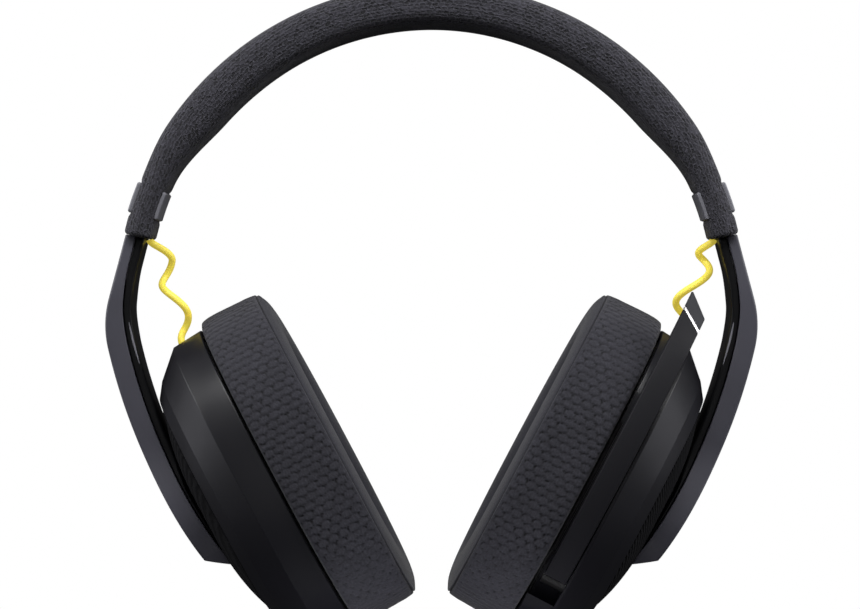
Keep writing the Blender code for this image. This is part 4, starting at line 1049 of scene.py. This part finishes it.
def cushion_relief(w, around, rising):
    """Painted-shade mask for the grooves and the seam, and height over the cushion: shingled cells on the wall,
    and the sewn seam.

    w is the distance from the seam, positive on the wall and negative on the face side; rising
    is how fast the ring climbs, so that the lower edge of each cell is the deep one.
    """
    pitch = around[-1] / (2 * round(around[-1] / CELL_ROW / 2))
    u = around[None, :-1]
    squeeze = CELL_WIDE * math.sqrt(3.0) / 2.0 / pitch
    beside, below, nearest = [], [], []
    for start in (0.0, 1.0):
        du = (u / (2.0 * pitch) - start / 2.0 + 0.5) % 1.0 - 0.5
        dw = (w / CELL_WIDE - start / 2.0 + 0.5) % 1.0 - 0.5
        du, dw = np.broadcast_arrays(du * 2.0 * pitch * squeeze, dw * CELL_WIDE)
        beside.append(np.abs(dw))
        below.append(-du * rising[None, :])
        nearest.append((np.hypot(du, dw), np.hypot(CELL_WIDE - np.abs(dw), du)))
    (a, a_next), (b, b_next) = nearest
    first = np.minimum(a, b)
    second = np.minimum(np.maximum(a, b), np.where(a < b, a_next, b_next))
    from_upper = np.where(below[0] > below[1], *beside) / CELL_WIDE
    scallop = mix(1.0, CELL_SOFT, ease((from_upper - 0.14) / 0.28))
    edge = (1.0 - ease((second - first) / CELL_GROOVE)) * scallop
    wall = ease((w - 0.7) / 0.8) * ease((19.5 - w) / 1.5)
    sewn = np.exp(-((w / SEAM_WIDTH) ** 2))
    shingle = np.where(a < b, *below) / CELL_WIDE * 2.0 * CELL_TILT
    lift = wall * (shingle - CELL_DEPTH * edge) - SEAM_DEPTH * sewn
    # the first value darkens the colour: painted shade in the grooves and along the seam
    return np.clip(edge * wall + sewn, 0.0, 1.0), lift


def speaker_scrim(cup):
    """Cloth across the bottom of the ear hollow, sagging a little towards the driver."""
    angles = oval_angles(120)
    top, bottom = [], []
    for t in np.linspace(0.02, 1.0, 24):
        outline = oval((EAR_HALF[0] * t, EAR_HALF[1] * t), angles)
        level = 20.0 + 1.6 * math.cos(t * math.pi / 2.0) ** 2 - 0.6
        top.append(at_depth(level, outline))
        bottom.append(at_depth(level + 0.4, outline))
    cloth = grid_object(f"scrim_cloth_{cup.name}", cup.world(top + bottom[::-1]), sharp=50.0)
    place(cloth, cup.body, "outer_textile", f"speaker_scrim_{cup.name}")


# --- boom ---
def bar_outline(low, high, count=50):
    """(y, v) outline of a stretch of the boom's bar."""
    v = np.linspace(low, high, count)
    outer = [boom_side(BOOM_RADII[1], x) for x in v]
    inner = [boom_side(BOOM_RADII[0], x) for x in v[::-1]]
    return np.array(outer + inner)


def eye_outline():
    """The bar with the round eye at its lower end, from the eye up to the silver ring."""
    centre = np.array(BOOM_PIVOT)
    sides = np.split(bar_outline(BOOM_PIVOT[1], RING_V, 90), 2)
    outer, inner = (p[np.linalg.norm(p - centre, axis=1) > BOOM_EYE] for p in sides)
    angles = [math.degrees(math.atan2(*(p - centre)[::-1])) for p in (inner[-1], outer[0])]
    sweep = (angles[1] - angles[0]) % 360.0
    turns = np.linspace(0.0, 1.0, 42)[1:-1]
    arc = [centre + polar(BOOM_EYE, angles[0] + sweep * t) for t in turns]
    return np.vstack([outer, inner, arc])


def boom(cup):
    arm = cup.prism("boom_bar", eye_outline(), BOOM_D, 0.35, (0.0, RING_SLANT), 40.0)
    cut(arm, cup.rod((18.0, 32.0), PIN_HOLE, BOOM_PIVOT, 32))
    place(arm, "boom", "boom_matte", "boom_arm")
    low = RING_V + 0.1
    ring = cup.prism("boom_band", bar_outline(low, low + RING_THICK, 4), BOOM_D, 0.15, (RING_SLANT,) * 2)
    place(ring, "boom", "silver", "boom_ring")
    low += RING_THICK + 0.1
    tip = cup.prism("boom_cap", bar_outline(low, TIP_TOP, 12), BOOM_D, 0.3, (RING_SLANT, TIP_SLANT), low)
    hole = boom_side(sum(BOOM_RADII) / 2.0, RING_V + 3.0)
    cut(tip, cup.rod((BOOM_D[0] - 1.0, BOOM_D[0] + 2.3), 1.4, hole, 32))
    place(tip, "boom", "tip_grey", "boom_tip")


def controls(cup):
    """Button with a dished top, and the rocker, on the back wall."""
    inner, outer = CONTROL_Y
    r = BUTTON_RADIUS
    profile = ((inner, r), (outer - 0.4, r), (outer - 0.1, r - 0.12), (outer, r - 0.45))
    profile += ((outer - 0.15, r - 1.1), (outer - 0.3, r - 2.2), (outer - 0.35, 0.2))
    button = cup.lathe_y("button_cap", profile, (CONTROL_D, BUTTON_V))
    place(button, "power_button", "trim_grey", "power_button")
    profile = ((inner + 1.0, 0.0), (outer - 0.5, 0.0), (outer - 0.15, 0.15), (outer, 0.5), (outer, 1.4))
    rocker = cup.lathe_y("rocker_cap", profile, (CONTROL_D, ROCKER_V), rocker_outline)
    place(rocker, "volume_rocker", "trim_grey", "volume_rocker")


# --- cords ---
def cord_path(cup, shares):
    radius, shift, turns, phase, lean, before, after = CORD_COIL[cup.name]
    top = CORD_TOP[cup.name]
    end = cup.world((CORD_END[0], 0.0, CORD_END[1]))
    hold = ease(shares / before) * ease((1.0 - shares) / after)
    turn = np.radians(phase + 360.0 * turns * shares)
    x = mix(top[0], cup.side * end[0], shares) - (shift + radius * np.cos(turn)) * hold
    z = mix(top[1] + CENTRE_Z, end[2], shares) + lean * radius * np.sin(turn) * hold
    return np.stack([cup.side * x, radius * np.sin(turn) * hold, z], axis=1)


def cord(cup):
    """The coiled cord, made as three stretches."""
    shares = np.linspace(0.0, 1.0, 241)
    path = cord_path(cup, shares)
    run = unit(np.gradient(path, axis=0))
    across = unit(np.cross(run, (0.0, 1.0, 0.0)))
    upward = np.cross(across, run)
    grid = np.stack([path + across * a + upward * b for a, b in circle(CORD_RADIUS, 20)], axis=1)
    # painted shade at each end of the cord, read by the material
    ends = 1.0 - ease(shares / CORD_END_SHADE[0]) * ease((1.0 - shares) / CORD_END_SHADE[1])
    for number, stretch in enumerate(("upper", "middle", "lower")):
        low, high = (int(round(CORD_SPLITS[number + k] * 240)) for k in (0, 1))
        rows = grid[low : high + 1]
        piece = grid_object(f"cord_{stretch}_{cup.name}", rows, sharp=60.0)
        attribute(piece, "ends", np.repeat(ends[low : high + 1, None], 20, axis=1))
        piece.data.materials.append(MATERIALS["cord_yellow"])
        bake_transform(piece)
        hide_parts(f"cord_{cup.name}")


# --- stage ---
def soft_light(name, place_at, aim, size, power, colour=(1.0, 1.0, 1.0)):
    data = bpy.data.lights.new(name, "AREA")
    data.shape = "RECTANGLE"
    data.size, data.size_y = size[0] * MM, size[1] * MM
    data.energy = power
    data.color = colour
    lamp = link(name, data)
    lamp.location = Vector(place_at) * MM
    direction = (Vector(aim) - Vector(place_at)).normalized()
    lamp.rotation_euler = direction.to_track_quat("-Z", "Y").to_euler()
    lamp.visible_camera = False
    return lamp


def studio_world():
    """White to the camera, and a faint light from above for everything else."""
    world = bpy.data.worlds.new("studio")
    SCENE.world = world
    world.use_nodes = True
    tree = world.node_tree
    tree.nodes.clear()
    place_at = add_node(tree, "TexCoord").outputs["Generated"]
    height = add_node(tree, "SeparateXYZ", {0: place_at}).outputs["Z"]
    limits = {"From Min": -0.3, "From Max": 1.0, "To Min": 0.02, "To Max": 0.09}
    sky = add_node(tree, "MapRange", {"Value": height, **limits}).outputs[0]
    seen = add_node(tree, "LightPath").outputs["Is Camera Ray"]
    strength = add_node(tree, "Mix", {"Factor": seen, "A": sky, "B": 1.0}).outputs[0]
    white = add_node(tree, "Background", {"Color": (1.0,) * 4, "Strength": strength})
    add_node(tree, "OutputWorld", {"Surface": white.outputs[0]})


def pale_floor():
    """Pale floor below the headset, brightening to plain white away from it."""
    level = CAD_BOX[0].z / MM - FLOOR_DROP
    side = 2500.0
    corners = np.array([(mix(-side, side, a), mix(-side, side, b), level) for a, b in SQUARE])
    mesh = bpy.data.meshes.new("floor")
    mesh.from_pydata((corners * MM).tolist(), [], [(0, 1, 2, 3)])
    floor = link("floor", mesh)
    floor.visible_shadow = floor.visible_diffuse = floor.visible_glossy = False
    finish = Finish("floor", (0.86, 0.86, 0.87), 0.7)
    stretched = finish.add("Mapping", {"Vector": finish.space, "Scale": (5.4, 9.5, 0.0)})
    reach = finish.add("VectorMath", {0: stretched.outputs[0]}, operation="LENGTH").outputs["Value"]
    seen = finish.add("LightPath").outputs["Is Camera Ray"]
    far = finish.maths("MULTIPLY", finish.ramp(reach, 0.6, 1.0, 0.0, 1.0), seen)
    glow = finish.add("Emission", {"Color": (1.0,) * 4, "Strength": 1.0})
    blend = finish.add("MixShader", {0: far, 1: finish.shader.outputs[0], 2: glow.outputs[0]})
    wire(finish.tree, finish.tree.nodes["Material Output"], {"Surface": blend.outputs[0]})
    mesh.materials.append(finish.material)


def studio():
    studio_world()
    pale_floor()
    aim = (0.0, 0.0, -80.0)
    soft_light("top", (0.0, -510.0, 700.0), aim, (1000.0, 200.0), 8.5)
    soft_light("front", (0.0, -1350.0, -150.0), aim, (600.0, 300.0), 0.4)
    for sign in (-1.0, 1.0):
        soft_light("side", (850.0 * sign, -160.0, 300.0), aim, (700.0, 400.0), 4.0)
        soft_light("card", (900.0 * sign, 60.0, -150.0), aim, (420.0, 620.0), 1.0, (0.93, 0.93, 1.0))
    low = soft_light("low", (0.0, -50.0, -184.0), (0.0, 0.0, -150.0), (80.0, 40.0), 0.026)
    back = soft_light("back", (0.0, 900.0, 500.0), aim, (900.0, 500.0), 0.4)
    low.visible_glossy = back.visible_glossy = False
    camera_data = bpy.data.cameras.new("camera")
    camera_data.lens = LENS
    camera_data.sensor_width = SENSOR
    camera = link("camera", camera_data)
    camera.location = Vector(CAMERA_PLACE) * MM
    camera.rotation_euler = (math.radians(90.0), 0.0, 0.0)
    SCENE.camera = camera
    SCENE.view_settings.view_transform = "Standard"


CENTRE_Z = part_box("headband_spring")[0].z / MM - polar(SPRING_RADIUS, SPRING_START)[1]
MATERIALS = make_materials()
finish_cad_nodes()
band_cover()
for one_cup in (Cup("left", 1), Cup("right", -1)):
    clip("outer", one_cup)
    clip("inner", one_cup)
    for build in (arm_shell, arm_cover, cup_shell, outer_textile, ear_cushion, speaker_scrim, cord):
        build(one_cup)
    if one_cup.side > 0:
        boom(one_cup)
        controls(one_cup)
studio()
